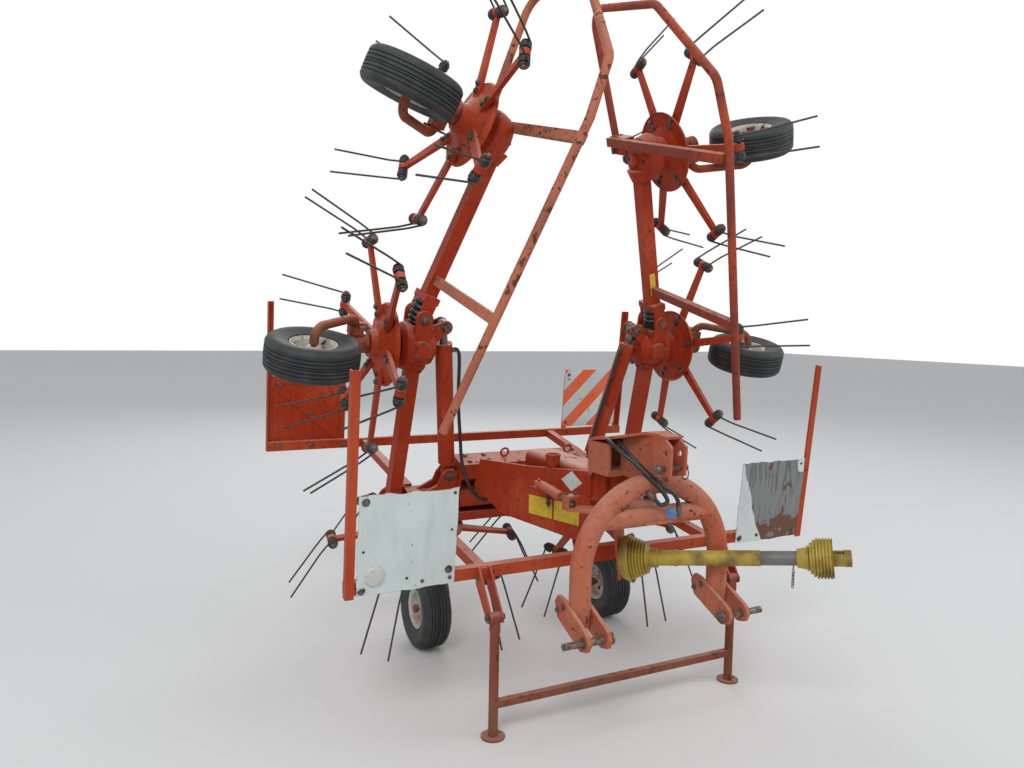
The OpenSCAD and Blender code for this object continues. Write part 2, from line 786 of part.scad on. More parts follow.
rod_eye_u = hinge_x + cos(inner_fold) * rod_eye_x - sin(inner_fold) * rod_eye_lift;
rod_eye_w = sin(inner_fold) * rod_eye_x + cos(inner_fold) * rod_eye_lift;
cylinder_len = norm([rod_eye_u - cylinder_x, rod_eye_w - cylinder_lift]);
cylinder_angle = atan2(rod_eye_w - cylinder_lift, rod_eye_u - cylinder_x);
barrel_end = cylinder_len - 90;

// Places a piece along a folding cylinder, X from its lower eye
module along_cylinder(side)
    on_side(side) machine() translate([cylinder_x, 0, cylinder_lift])
        rotate([0, -cylinder_angle, 0]) children();

module cylinder_barrel(side) color(paint) along_cylinder(side) difference() {
    union() {
        pin_y(30, eye_gap - 2 * side_gap);
        box([0, -20, -20], [70, 20, 20]);
        translate([66, 0, 0]) rotate([0, 90, 0]) cylinder(h = barrel_end - 66, r = barrel_r);
    }
    pin_y(eye_pin_r + turn_gap, 100);
    translate([120, 0, 0])
        rotate([0, 90, 0]) cylinder(h = cylinder_len, r = rod_r + turn_gap);
}

module cylinder_rod(side) color(steel) along_cylinder(side) {
    translate([140, 0, 0]) rotate([0, 90, 0]) cylinder(h = cylinder_len - 155, r = rod_r);
    translate([cylinder_len, 0, 0]) pin_y(30, eye_gap - 2 * side_gap);
}

// Rotors

module rotor_arm() {
    run = [arm_reach - 110, 0, 172 - coil_drop];
    translate([110, 0, -172])
        rotate([0, atan2(-run[2], run[0]), 0])
            translate([0, 0, -arm_t / 2]) linear_extrude(arm_t)
                polygon([[0, -arm_root_w / 2], [norm(run), -arm_tip_w / 2],
                    [norm(run), arm_tip_w / 2], [0, arm_root_w / 2]]);
}

module rotor(i) color(paint) at_rotor(i) {
    difference() {
        rotate_extrude() polygon([
            [0, -hub_foot], [62, -hub_foot], [74, -200], [140, -170], [192, -160],
            [disc_r, -disc_drop], [disc_r, 8 - disc_drop], [190, -disc_drop],
            [130, -disc_drop], [84, -128], [78, -hub_top], [0, -hub_top]]);
        cylinder(h = 2 * hub_foot + 4, r = spindle_r + turn_gap, center = true);
    }
    for (k = [0:arm_count - 1])
        rotate([0, 0, rotor_angle(i) + k * 360 / arm_count])
            difference() {
                union() {
                    rotor_arm();
                    translate([arm_reach, 0, -coil_drop]) pin_y(24, arm_tip_w);
                }
                translate([arm_reach, 0, -coil_drop]) pin_y(9 + seat_gap, arm_tip_w + 30);
            }
}

// Tines: two coils on a bolt through the arm's tip, a leg from each outer end

// A wound coil along Z, each turn eight-sided in section
module coil() rotate_extrude()
    polygon(concat([[0, 0]],
        [for (i = [0:coil_turns - 1], p = [[-0.3, 0], [0, 0.3], [0, 0.7]])
            [coil_r + p[0] * wire_d, (i + p[1]) * wire_d]],
        [[coil_r - 0.3 * wire_d, coil_turns * wire_d], [0, coil_turns * wire_d]]));

module tine() {
    // The legs are a hair thinner than the turns, so they join them cleanly
    leg_r = wire_d / 2 - 0.25;
    coil_len = coil_turns * wire_d;
    inner = arm_tip_w / 2 + 5;
    pin_y(9, 2 * (inner + coil_len + 10));
    for (s = [-1, 1]) mirror([0, s < 0 ? 1 : 0, 0]) {
        translate([0, inner, 0]) rotate([-90, 0, 0]) coil();
        translate([0, inner + coil_len - wire_d / 2, 0])
            rotate([0, leg_slope + 90, 0]) translate([-coil_r + wire_d / 2, 0, 0]) {
                cylinder(h = leg_bend, r = leg_r);
                // The legs splay a little past their bend
                translate([0, 0, leg_bend]) {
                    sphere(r = leg_r + 0.1);
                    rotate([-3, 5, 0]) cylinder(h = leg_len - leg_bend, r = leg_r);
                }
            }
    }
}

module tines(i) color(black) at_rotor(i)
    for (k = [0:arm_count - 1])
        rotate([0, 0, rotor_angle(i) + k * 360 / arm_count])
            translate([arm_reach, 0, -coil_drop]) tine();

// Wheels and the legs that carry them under the rotors

// Places a piece on the axle of wheel i
module at_wheel(i)
    at_rotor(i) translate([wheel_shift(i), -wheel_lead, -wheel_drop]) children();

module wheel(i) color(black) at_wheel(i) rotate([0, 90, 0]) {
    half = tyre_w / 2;
    rotate_extrude() polygon([
        [rim_r + seat_gap, -50], [rim_r + 28, -64], [tyre_r - 48, -half],
        [tyre_r - 26, -half], [tyre_r - 7, -half + 16], [tyre_r, -34], [tyre_r, 34],
        [tyre_r - 7, half - 16], [tyre_r - 26, half], [tyre_r - 48, half],
        [rim_r + 28, 64], [rim_r + seat_gap, 50]]);
    difference() {
        rotate_extrude() polygon([
            [0, -42], [30, -42], [34, -8], [76, -14], [84, -50], [rim_r, -58],
            [rim_r, 58], [84, 50], [76, 2], [34, 8], [30, 42], [0, 42]]);
        cylinder(h = 200, r = stub_r + turn_gap, center = true);
    }
}

leg_out = 125;
adjuster_z = 300;
leg_run = [wheel_lead, wheel_drop - adjuster_z];
leg_angle = atan2(leg_run[1], leg_run[0]);

module wheel_leg(i) color(faded) at_rotor(i) {
    out = wheel_leg_side(i);
    translate([0, 0, -bracket_foot]) cylinder(h = bracket_foot - gearbox_foot, r = spindle_r);
    translate([0, 0, -bracket_foot]) cylinder(h = bracket_foot - bracket_top, r = 45);
    translate([wheel_shift(i), 0, -adjuster_z])
        // X runs from the bracket to the axle, Y across to the tube's side
        rotate([0, 0, -90]) rotate([0, leg_angle, 0])
            bent_tube([[0, -40 * out], [0, leg_out * out], [norm(leg_run), leg_out * out],
                [norm(leg_run), 52 * out]], axle_tube_r, 58);
    translate([wheel_shift(i), -wheel_lead, -wheel_drop]) {
        translate([out * 5, 0, 0]) pin_x(stub_r, 110);
        translate([-out * 55, 0, 0]) pin_x(22, 16);
    }
    // Clamp, quadrant and lever of the height adjuster
    translate([wheel_shift(i), 0, -adjuster_z]) {
        translate([out * 66, 0, 0]) box([-20, -30, -32], [20, 30, 32]);
        translate([out * 92, 0, 0]) plate_x(8) difference() {
            circle(r = 54);
            translate([-60, -60]) square([60, 120]);
        }
        bar([out * 78, 20, 14], [out * 78, 128, 34], 12, 24);
    }
}

centre_frame();
nose_frame();
centre_gearboxes();
front_rail();
front_boards();
rear_rail();
rear_boards();
for (i = [2, 3]) wheel_leg(i);  // centre_wheel_legs
stand();
arch();
swivel_head();
link_pins();
drive_guard();
drive_tube();
drive_yoke();
damper_barrel(1);  // damper_barrel_r
damper_rod(1);  // damper_rod_r
damper_barrel(-1);  // damper_barrel_l
damper_rod(-1);  // damper_rod_l
inner_beam(1);  // inner_beam_r
inner_gearbox(1);  // inner_gearbox_r
wheel_leg(4);  // inner_wheel_leg_r
outer_beam(1);  // outer_beam_r
outer_gearbox(1);  // outer_gearbox_r
wheel_leg(5);  // outer_wheel_leg_r
wing_guard(1);  // wing_guard_r
inner_beam(-1);  // inner_beam_l
inner_gearbox(-1);  // inner_gearbox_l
wheel_leg(1);  // inner_wheel_leg_l
outer_beam(-1);  // outer_beam_l
outer_gearbox(-1);  // outer_gearbox_l
wheel_leg(0);  // outer_wheel_leg_l
wing_guard(-1);  // wing_guard_l
cylinder_barrel(1);  // cylinder_barrel_r
cylinder_rod(1);  // cylinder_rod_r
cylinder_barrel(-1);  // cylinder_barrel_l
cylinder_rod(-1);  // cylinder_rod_l
rotor(0);  // rotor_1
rotor(1);  // rotor_2
rotor(2);  // rotor_3
rotor(3);  // rotor_4
rotor(4);  // rotor_5
rotor(5);  // rotor_6
tines(0);  // tines_1
tines(1);  // tines_2
tines(2);  // tines_3
tines(3);  // tines_4
tines(4);  // tines_5
tines(5);  // tines_6
wheel(0);  // wheel_1
wheel(1);  // wheel_2
wheel(2);  // wheel_3
wheel(3);  // wheel_4
wheel(4);  // wheel_5
wheel(5);  // wheel_6
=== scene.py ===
"""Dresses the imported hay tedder: finishes, tyres, tines, boards, hoses, fittings and the stage."""

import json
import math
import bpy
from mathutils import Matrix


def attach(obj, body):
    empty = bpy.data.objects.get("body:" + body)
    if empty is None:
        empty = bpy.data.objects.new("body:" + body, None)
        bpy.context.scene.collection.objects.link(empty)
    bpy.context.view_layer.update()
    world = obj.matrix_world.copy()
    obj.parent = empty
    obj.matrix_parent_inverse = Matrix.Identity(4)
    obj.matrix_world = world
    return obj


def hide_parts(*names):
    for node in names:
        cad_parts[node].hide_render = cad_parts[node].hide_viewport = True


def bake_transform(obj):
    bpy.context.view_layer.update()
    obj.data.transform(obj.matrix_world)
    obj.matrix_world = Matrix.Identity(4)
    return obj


bl_info = {
    "name": "Hay tedder",
    "version": (1, 0, 0),
    "blender": (4, 5, 0),
    "location": "View3D > Sidebar > Tedder",
    "description": "Builds the looks of a six-rotor hay tedder on its packed frame",
    "category": "Add Mesh",
}

import bmesh
import bpy
from mathutils import Matrix, Vector, noise

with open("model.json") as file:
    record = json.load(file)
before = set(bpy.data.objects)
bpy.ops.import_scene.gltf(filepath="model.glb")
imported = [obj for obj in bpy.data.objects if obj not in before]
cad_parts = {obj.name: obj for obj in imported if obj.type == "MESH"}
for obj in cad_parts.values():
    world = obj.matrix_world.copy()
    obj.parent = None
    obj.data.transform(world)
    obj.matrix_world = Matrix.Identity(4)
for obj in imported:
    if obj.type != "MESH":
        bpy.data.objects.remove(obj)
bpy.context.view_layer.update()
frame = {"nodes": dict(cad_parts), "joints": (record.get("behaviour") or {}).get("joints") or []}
JOINTS = {joint["name"]: joint for joint in frame["joints"]}

# The finishes by name, apart from the frame's own materials of the same names
FINISHES = {}
# Rotors from the left of the parked machine: its side, and wing (0 centre, 1 inner, 2 outer)
ROTORS = [(-1, 2), (-1, 1), (-1, 0), (1, 0), (1, 1), (1, 2)]
SIDE_NAMES = {1: "r", -1: "l"}
BODY_OF_WING = {0: "frame", 1: "inner_wing_", 2: "outer_wing_"}
# Y and Z about which the boards of a rail lean, and their lean in degrees
FRONT_RAIL = (-0.4545, 0.680)
REAR_RAIL = (1.2625, 0.942)
LEAN = 5.6
# The driveline from its joint to the yoke's, and to the foot of its outer guard
DRIVE_LENGTH = 0.82875
OUTER_GUARD = 0.765375
# Angle of the first arm of the even and the odd rotors, mirrored on the left
ARM_PHASES = (37, -7)
# From a rotor's spin joint up to the axis of its beam
ROTOR_LIFT = 0.2
# Underside of a rotor arm: its reach and height at the root, and its fall outward
ARM_ROOT = (0.11, -0.1835)
ARM_FALL = 52 / 377


# Properties


def length_property(name, description, default, low, high):
    """A size in metres."""
    return bpy.props.FloatProperty(
        name=name, description=description, default=default, min=low, max=high,
        unit="LENGTH", precision=4,
    )


def colour_property(name, description, default):
    """A colour in linear light."""
    return bpy.props.FloatVectorProperty(
        name=name, description=description, default=default, min=0, max=1, size=3,
        subtype="COLOR",
    )


class TedderSizes(bpy.types.PropertyGroup):
    """Sizes of the pieces that the scene makes."""

    wire: length_property("Tine wire", "Thickness of the tine wire", 0.0095, 0.008, 0.011)
    coil: length_property("Tine coil", "Outside radius of a tine coil", 0.026, 0.022, 0.03)
    leg: length_property("Tine leg", "Length of a tine leg", 0.35, 0.3, 0.38)
    groove: length_property("Tread groove", "Depth of the tread grooves", 0.006, 0.002, 0.009)
    bolt: length_property("Bolt head", "Radius of the common bolt heads", 0.011, 0.008, 0.014)
    hose: length_property("Hose", "Radius of the hydraulic hoses", 0.009, 0.007, 0.011)


class TedderColours(bpy.types.PropertyGroup):
    """Colours of the finishes."""

    red: colour_property("Red", "Paint that has kept its colour", (0.37, 0.036, 0.009))
    sunned: colour_property("Sunned red", "Paint bleached by the sun", (0.46, 0.072, 0.028))
    chalky: colour_property("Chalky red", "The palest paint", (0.47, 0.150, 0.086))
    dull: colour_property("Dull red", "Darkened paint of guard and stand", (0.25, 0.055, 0.036))
    grimy: colour_property("Grimy red", "Paint under grease and dust", (0.22, 0.085, 0.048))
    rust: colour_property("Rust", "Bare rusty steel", (0.075, 0.032, 0.018))
    # On upward faces of paint this pale colour is dust and a painted sky sheen
    dust: colour_property("Dust", "Dry dust on flat tops", (0.62, 0.36, 0.27))
    steel: colour_property("Steel", "Worn bare steel", (0.20, 0.17, 0.145))
    wire: colour_property("Tine steel", "Dark spring steel", (0.042, 0.048, 0.052))
    rubber: colour_property("Rubber", "Weathered tyre rubber", (0.017, 0.020, 0.021))
    rim: colour_property("Rim", "Cream paint of the rims", (0.60, 0.61, 0.53))
    board: colour_property("Board", "White paint of the boards", (0.57, 0.645, 0.63))
    primer: colour_property("Primer", "Grey under the white paint", (0.20, 0.21, 0.205))
    stripe: colour_property("Stripe", "Orange of the warning stripes", (0.80, 0.105, 0.015))
    shield: colour_property("Shield", "Yellow of the driveline guard", (0.43, 0.31, 0.035))
    sleeve: colour_property("Sleeve", "Grey of the driveline's inner tube", (0.15, 0.15, 0.14))
    hose: colour_property("Hose", "Black hose rubber", (0.012, 0.012, 0.013))
    sticker: colour_property("Sticker", "Yellow of the blank stickers", (0.66, 0.47, 0.03))


# Mesh helpers


# A turned profile's points on the axis lie this far from it
AXIS = 0.0001
# Points of a piece that lie nearer than this become one
MERGED = 2e-5


class Shape:
    """Points and faces of one piece, gathered before its mesh is made."""

    def __init__(self):
        self.points = []
        self.faces = []
        self.finishes = []

    def add(self, points, faces, place=Matrix(), finish=0):
        """Adds points and faces at a place. A mirrored place keeps its faces outward."""
        start = len(self.points)
        mirrored = place.determinant() < 0
        self.points += [place @ Vector(point) for point in points]
        for face in faces:
            face = [start + index for index in face]
            self.faces.append(face[::-1] if mirrored else face)
            self.finishes.append(finish)

    def lathe(self, profile, place=Matrix(), steps=32, finish=0):
        """A profile of (radius, height) turned round Z."""
        points = []
        for step in range(steps):
            angle = 2 * math.pi * step / steps
            points += [(r * math.cos(angle), r * math.sin(angle), z) for r, z in profile]
        count = len(profile)
        faces = []
        for step in range(steps):
            here, after = step * count, (step + 1) % steps * count
            for index in range(count):
                other = (index + 1) % count
                faces.append([here + index, after + index, after + other, here + other])
        self.add(points, faces, place, finish)

    def disc(self, radius, low, high, place=Matrix(), steps=32, finish=0):
        """A round plate across Z, between two heights."""
        self.lathe([(AXIS, low), (radius, low), (radius, high), (AXIS, high)], place, steps,
                   finish)

    def tube(self, path, radius, place=Matrix(), sides=10, finish=0):
        """A round tube along a path, with flat ends. The radius may be one for each point."""
        path = [Vector(point) for point in path]
        radii = radius if isinstance(radius, list) else [radius] * len(path)
        last = len(path) - 1
        heading = (path[1] - path[0]).normalized()
        across = heading.orthogonal().normalized()
        points = []
        for index, point in enumerate(path):
            ahead = (path[min(index + 1, last)] - path[max(index - 1, 0)]).normalized()
            across = (heading.rotation_difference(ahead) @ across).normalized()
            heading = ahead
            over = heading.cross(across)
            for side in range(sides):
                angle = 2 * math.pi * side / sides
                points.append(
                    point + radii[index] * (math.cos(angle) * across + math.sin(angle) * over)
                )
        faces = [list(range(sides))[::-1]]
        for index in range(last):
            low, high = index * sides, (index + 1) * sides
            for side in range(sides):
                other = (side + 1) % sides
                faces.append([low + side, low + other, high + other, high + side])
        faces.append(list(range(last * sides, last * sides + sides)))
        self.add(points, faces, place, finish)

    def slab(self, outline, low, high, place=Matrix(), finish=0):
        """An outline in XY, counterclockwise, between two heights."""
        count = len(outline)
        points = [(x, y, low) for x, y in outline] + [(x, y, high) for x, y in outline]
        faces = [list(range(count))[::-1], list(range(count, 2 * count))]
        for index in range(count):
            other = (index + 1) % count
            faces.append([index, other, count + other, count + index])
        self.add(points, faces, place, finish)

    def bolt(self, place, radius, height, finish=0):
        """A hexagon head with a chamfer on its washer, up along Z."""
        self.disc(radius * 1.45, -0.001, height * 0.25, place, 16, finish)
        self.lathe(
            [(AXIS, height * 0.2), (radius, height * 0.2), (radius, height * 0.85),
             (radius * 0.86, height), (AXIS, height)], place, 6, finish)

    def piece(self, name, body, finishes, crease=35):
        """Makes the object with its finishes in order. It rides on a body, unless that is None."""
        mesh = bpy.data.meshes.new(name)
        mesh.from_pydata(self.points, [], self.faces)
        mesh.polygons.foreach_set("material_index", self.finishes)
        shaped = bmesh.new()
        shaped.from_mesh(mesh)
        bmesh.ops.remove_doubles(shaped, verts=shaped.verts, dist=MERGED)
        bmesh.ops.dissolve_degenerate(shaped, edges=shaped.edges, dist=1e-6)
        shaped.to_mesh(mesh)
        shaped.free()
        mesh.validate()
        mesh.shade_smooth()
        mesh.set_sharp_from_angle(angle=math.radians(crease))
        for finish in finishes:
            mesh.materials.append(FINISHES[finish])
        made = bpy.data.objects.new(name, mesh)
        bpy.context.scene.collection.objects.link(made)
        if body:
            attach(made, body)
        return made


def sheet(shape, place, size, thick, torn=0.0, dented=0.0):
    """A dented sheet in XZ from the origin, its front at -Y and its edges torn in and out."""
    count = 26
    # Cells of the noise over the sheet, and how far the tears reach past the far edges
    cells, past_side, past_top = 4.3, 0.4, 1.6
    width, height = size
    front, back = [], []
    for row in range(count + 1):
        for column in range(count + 1):
            u, v = column / count, row / count
            spot = Vector((u * cells, v * cells, 1.7))
            pull = torn * (0.5 + 0.5 * noise.noise(spot * 1.9))
            x = u * width + pull * (max(0, 1 - 9 * u) - past_side * max(0, 9 * u - 8))
            z = v * height + pull * (max(0, 1 - 9 * v) - past_top * max(0, 9 * v - 8))
            dent = dented * noise.noise(spot)
            front.append((x, dent - thick, z))
            back.append((x, dent, z))
    wide = count + 1
    points = front + back
    faces = []
    for row in range(count):
        for column in range(count):
            low = row * wide + column
            quad = [low, low + 1, low + wide + 1, low + wide]
            faces.append(quad)
            faces.append([index + len(front) for index in quad[::-1]])
    rim = [*range(count), *range(count, wide * wide - 1, wide)]
    rim += [*range(wide * wide - 1, wide * count, -1), *range(wide * count, 0, -wide)]
    for index, here in enumerate(rim):
        after = rim[(index + 1) % len(rim)]
        faces.append([after, here, here + len(front), after + len(front)])
    shape.add(points, faces, place)


def ring(middle, across, over, steps, start=0.0):
    """Points once round an ellipse, from its middle and its two half axes."""
    angles = [math.pi * (start + 2 * step / steps) for step in range(steps + 1)]
    middle, across, over = Vector(middle), Vector(across), Vector(over)
    return [middle + math.cos(angle) * across + math.sin(angle) * over for angle in angles]


def smooth_path(points, steps=8):
    """A smooth line through the points."""
    points = [Vector(point) for point in points]
    padded = [2 * points[0] - points[1], *points, 2 * points[-1] - points[-2]]
    path = []
    for index in range(1, len(padded) - 2):
        a, b, c, d = padded[index - 1:index + 3]
        for step in range(steps):
            t = step / steps
            path.append(
                0.5 * (2 * b + (c - a) * t + (2 * a - 5 * b + 4 * c - d) * t * t
                       + (3 * b - a - 3 * c + d) * t ** 3)
            )
    return [*path, points[-1]]


# Places in the frame


def at(x, y, z):
    """A shift in metres."""
    return Matrix.Translation((x, y, z))


def turn(degrees, axis):
    """A turn about one axis."""
    return Matrix.Rotation(math.radians(degrees), 4, axis)


def placed(x, y, z, origin):
    """A place with the given axes and origin."""
    place = Matrix.Identity(4)
    for column, value in enumerate((x, y, z, origin)):
        place.col[column][:3] = value
    return place


def axes(origin, x, z):
    """A place whose X and Z point as given."""
    return placed(x, Vector(z).cross(Vector(x)).normalized(), z, origin)


def mirror(side):
    """Mirrors a place of the right side to the given side."""
    return Matrix.Diagonal((side, 1, 1, 1))


def wing_places():
    """The centre on the beam's axis, and the right inner and outer wing from their hinges."""
    across = Vector(JOINTS["inner_fold_r"]["axis"])
    inner = Vector(JOINTS["inner_fold_r"]["pos_m"])
    outer = Vector(JOINTS["outer_fold_r"]["pos_m"])
    up = Vector((1, 0, 0)).cross(across)
    wing_x = (outer - inner).normalized()
    tip_up = Vector(JOINTS["rotor_6_spin"]["axis"])
    return [
        axes((0, inner.y, inner.z), (1, 0, 0), up),
        axes(inner, wing_x, wing_x.cross(across)),
        axes(outer, across.cross(tip_up), tip_up),
    ]


WINGS = wing_places()


def wing_place(side, wing):
    """A wing's place on one side. Wing 0 is the centre frame."""
    return mirror(side) @ WINGS[wing]


def wing_body(side, wing):
    """The body of a wing on one side."""
    return BODY_OF_WING[wing] + (SIDE_NAMES[side] if wing else "")


def leaning(rail):
    """The place of a rail's posts and boards, which lean to the front from its Y and Z."""
    y, z = rail
    return at(0, y, z) @ turn(LEAN, "X") @ at(0, 0, -z)


def cylinder_place(side):
    """A folding cylinder, X from its lower pin to its rod eye."""
    joint = JOINTS["cylinder_swing_r"]
    along = Vector(JOINTS["cylinder_stroke_r"]["axis"])
    across = Vector(joint["axis"])
    return mirror(side) @ axes(joint["pos_m"], along, along.cross(across))


def driveline_place():
    """The parked driveline, Z from the joint under the swivel to its yoke."""
    joint = JOINTS["drive_spin"]
    along = Vector(joint["axis"])
    start = Vector(joint["pos_m"]) - along * DRIVE_LENGTH
    return axes(start, along.cross(Vector((0, 0, 1))).normalized(), along)


def rotor_place(number):
    """A rotor's axis, level with the beam, X along the wing."""
    side, wing = ROTORS[number - 1]
    joint = JOINTS[f"rotor_{number}_spin"]
    middle = Vector(joint["pos_m"]) + ROTOR_LIFT * Vector(joint["axis"])
    middle.x *= side
    place = WINGS[wing].copy()
    place.translation = middle
    return mirror(side) @ place


def wheel_place(number):
    """A wheel's middle, Z along its axle and away from the machine's middle."""
    side, wing = ROTORS[number - 1]
    middle = Vector(JOINTS[f"wheel_{number}_roll"]["pos_m"])
    middle.x *= side
    place = WINGS[wing].copy()
    place.translation = middle
    return mirror(side) @ place @ turn(90, "Y")


def arm_angles(number):
    """The angles of a rotor's six arms, in degrees."""
    side = ROTORS[number - 1][0]
    first = side * ARM_PHASES[number % 2]
    return [first + 60 * arm for arm in range(6)]


# Finishes


def shade(colour, share):
    """A colour made darker, or lighter by a share over 1."""
    return tuple(share * part for part in colour)


class Finish:
    """A material's nodes, with short calls that add one and give its output."""

    def __init__(self, name):
        self.material = bpy.data.materials.new(f"{name}_finish")
        self.material.use_nodes = True
        FINISHES[name] = self.material
        self.nodes = self.material.node_tree.nodes
        self.links = self.material.node_tree.links
        self.shader = self.nodes["Principled BSDF"]
        self.place = self.nodes.new("ShaderNodeTexCoord").outputs["Object"]

    def feed(self, socket, value):
        """Links an output to a socket, or sets its value."""
        if isinstance(value, bpy.types.NodeSocket):
            self.links.new(value, socket)
        elif isinstance(value, (tuple, list)) and len(value) == 3 and socket.type == "RGBA":
            socket.default_value = (*value, 1)
        else:
            socket.default_value = value

    def stretched(self, x, y, z):
        """The piece's own coordinates, scaled by axis."""
        mapping = self.nodes.new("ShaderNodeMapping")
        mapping.inputs["Scale"].default_value = (x, y, z)
        self.links.new(self.place, mapping.inputs["Vector"])
        return mapping.outputs["Vector"]

    def noise(self, scale, detail=4.0, place=None):
        """Cloudy noise, from 0 to 1."""
        node = self.nodes.new("ShaderNodeTexNoise")
        node.inputs["Scale"].default_value = scale
        node.inputs["Detail"].default_value = detail
        self.links.new(place or self.place, node.inputs["Vector"])
        return node.outputs["Fac"]

    def ramp(self, value, low, high, to_low=0.0, to_high=1.0):
        """Maps low..high to 0..1, clamped."""
        node = self.nodes.new("ShaderNodeMapRange")
        node.interpolation_type = "SMOOTHSTEP"
        for name, number in (("From Min", low), ("From Max", high), ("To Min", to_low),
                             ("To Max", to_high)):
            node.inputs[name].default_value = number
        self.links.new(value, node.inputs["Value"])
        return node.outputs["Result"]

    def maths(self, operation, a, b, clamp=True):
        """One step of arithmetic."""
        node = self.nodes.new("ShaderNodeMath")
        node.operation = operation
        node.use_clamp = clamp
        self.feed(node.inputs[0], a)
        self.feed(node.inputs[1], b)
        return node.outputs[0]

    def plus(self, a, b):
        """The sum, up to 1."""
        return self.maths("ADD", a, b)

    def times(self, a, b):
        """The product, up to 1."""
        return self.maths("MULTIPLY", a, b)

    def less(self, a, b):
        """The difference, from 0 up."""
        return self.maths("SUBTRACT", a, b)

    def most(self, a, b):
        """The larger of the two."""
        return self.maths("MAXIMUM", a, b)

    def own(self):
        """X, Y and Z of the piece's own coordinates."""
        parts = self.nodes.new("ShaderNodeSeparateXYZ")
        self.links.new(self.place, parts.inputs[0])
        return parts.outputs

    def mix(self, share, a, b):
        """A colour between a and b."""
        node = self.nodes.new("ShaderNodeMix")
        node.data_type = "RGBA"
        self.feed(node.inputs["Factor"], share)
        self.feed(node.inputs["A"], a)
        self.feed(node.inputs["B"], b)
        return node.outputs["Result"]

    def edges(self, radius):
        """1 on edges and 0 on flats, from the difference that rounding would make."""
        rounded = self.nodes.new("ShaderNodeBevel")
        rounded.samples = 4
        rounded.inputs["Radius"].default_value = radius
        surface = self.nodes.new("ShaderNodeNewGeometry")
        compare = self.nodes.new("ShaderNodeVectorMath")
        compare.operation = "DOT_PRODUCT"
        self.links.new(rounded.outputs["Normal"], compare.inputs[0])
        self.links.new(surface.outputs["Normal"], compare.inputs[1])
        return self.ramp(compare.outputs["Value"], 0.985, 0.86)

    def tops(self):
        """1 where the surface faces up, 0 on walls and below."""
        surface = self.nodes.new("ShaderNodeNewGeometry")
        parts = self.nodes.new("ShaderNodeSeparateXYZ")
        self.links.new(surface.outputs["Normal"], parts.inputs[0])
        return self.ramp(parts.outputs["Z"], 0.25, 0.95)

    def bump(self, height, strength, distance=0.002):
        """Small relief from a height."""
        node = self.nodes.new("ShaderNodeBump")
        node.inputs["Strength"].default_value = strength
        node.inputs["Distance"].default_value = distance
        self.links.new(height, node.inputs["Height"])
        self.links.new(node.outputs["Normal"], self.shader.inputs["Normal"])

    def surface(self, colour, roughness, metallic=0.0):
        """Colour, roughness and metallic of the shader."""
        self.feed(self.shader.inputs["Base Color"], colour)
        self.feed(self.shader.inputs["Roughness"], roughness)
        self.feed(self.shader.inputs["Metallic"], metallic)


def worn_paint(name, paint, pale, rust, dust, rusty, dusty, rough, scratched):
    """Old paint: bleached in clouds, chipped to rust on edges and in spots, and paler on top with
    dust and a painted sky sheen.
    """
    finish = Finish(name)
    deep = shade(paint, 0.62)
    clouds = finish.ramp(finish.noise(2.6, 5), 0.42, 0.68)
    streaks = finish.ramp(finish.noise(11, 4, finish.stretched(4, 4, 0.5)), 0.48, 0.72)
    mottle = finish.ramp(finish.noise(34, 6), 0.35, 0.7)
    colour = finish.mix(clouds, paint, pale)
    colour = finish.mix(finish.times(streaks, 0.45), colour, deep)
    colour = finish.mix(finish.times(mottle, 0.28), colour, deep)
    speckle = finish.noise(170, 6)
    chips = finish.plus(finish.times(finish.noise(44, 9), 0.7),
                         finish.times(finish.noise(5, 3), 0.3))
    spots = finish.ramp(chips, 0.645 - 0.09 * rusty, 0.665 - 0.09 * rusty)
    worn_edges = finish.times(finish.edges(0.0035),
                              finish.ramp(speckle, 0.56 - 0.14 * rusty, 0.64 - 0.12 * rusty))
    bare = finish.most(spots, worn_edges)
    if scratched:
        marks = finish.ramp(finish.noise(30, 3, finish.stretched(1, 1, 6)), 0.69, 0.72)
        nicks = finish.ramp(finish.noise(70, 5), 0.68, 0.71)
        bare = finish.most(bare, finish.times(finish.most(marks, nicks), scratched))
    rust_colour = finish.mix(finish.ramp(speckle, 0.35, 0.7), rust,
                             shade(rust, 2.2))
    # Upward faces mixed towards the pale dust colour: dust in clouds, and a painted sky sheen over
    # every top
    dust_and_sheen = finish.times(finish.tops(),
                         finish.ramp(finish.noise(14, 6), 0.25, 0.7, 0.6 * dusty, dusty))
    colour = finish.mix(dust_and_sheen, colour, dust)
    colour = finish.mix(bare, colour, rust_colour)
    finish.surface(colour, finish.ramp(bare, 0, 1, rough, 0.88))
    finish.shader.inputs["Specular IOR Level"].default_value = 0.16
    height = finish.less(finish.times(speckle, 0.25),
                          finish.times(bare, 0.8))
    finish.bump(finish.plus(height, 0.8), 0.35, 0.0012)


def bare_steel(name, steel, rust, rusty=0.5, metallic=0.6):
    """Handled steel with rust in clouds."""
    finish = Finish(name)
    patches = finish.ramp(finish.noise(38, 7), 0.56 - 0.16 * rusty, 0.66 - 0.1 * rusty)
    grain = finish.noise(240, 3)
    colour = finish.mix(patches, steel, rust)
    colour = finish.mix(finish.ramp(grain, 0.4, 0.7, 0, 0.25), colour, (0.02, 0.018, 0.016))
    finish.surface(colour, finish.ramp(patches, 0, 1, 0.42, 0.85),
                   finish.ramp(patches, 0, 1, metallic, 0.05))
    finish.bump(grain, 0.2, 0.0008)


def weathered_rubber(name, rubber, dust, dusty=0.4, rough=0.62):
    """Rubber with dust in its grain and fine cracks."""
    finish = Finish(name)
    clouds = finish.ramp(finish.noise(16, 6), 0.42, 0.78, 0, dusty)
    grain = finish.noise(300, 4)
    colour = finish.mix(clouds, rubber, dust)
    colour = finish.mix(finish.ramp(grain, 0.5, 0.75, 0, 0.3), colour,
                        shade(rubber, 0.5))
    finish.surface(colour, finish.ramp(clouds, 0, 1, rough, 0.9))
    finish.bump(grain, 0.25, 0.0006)


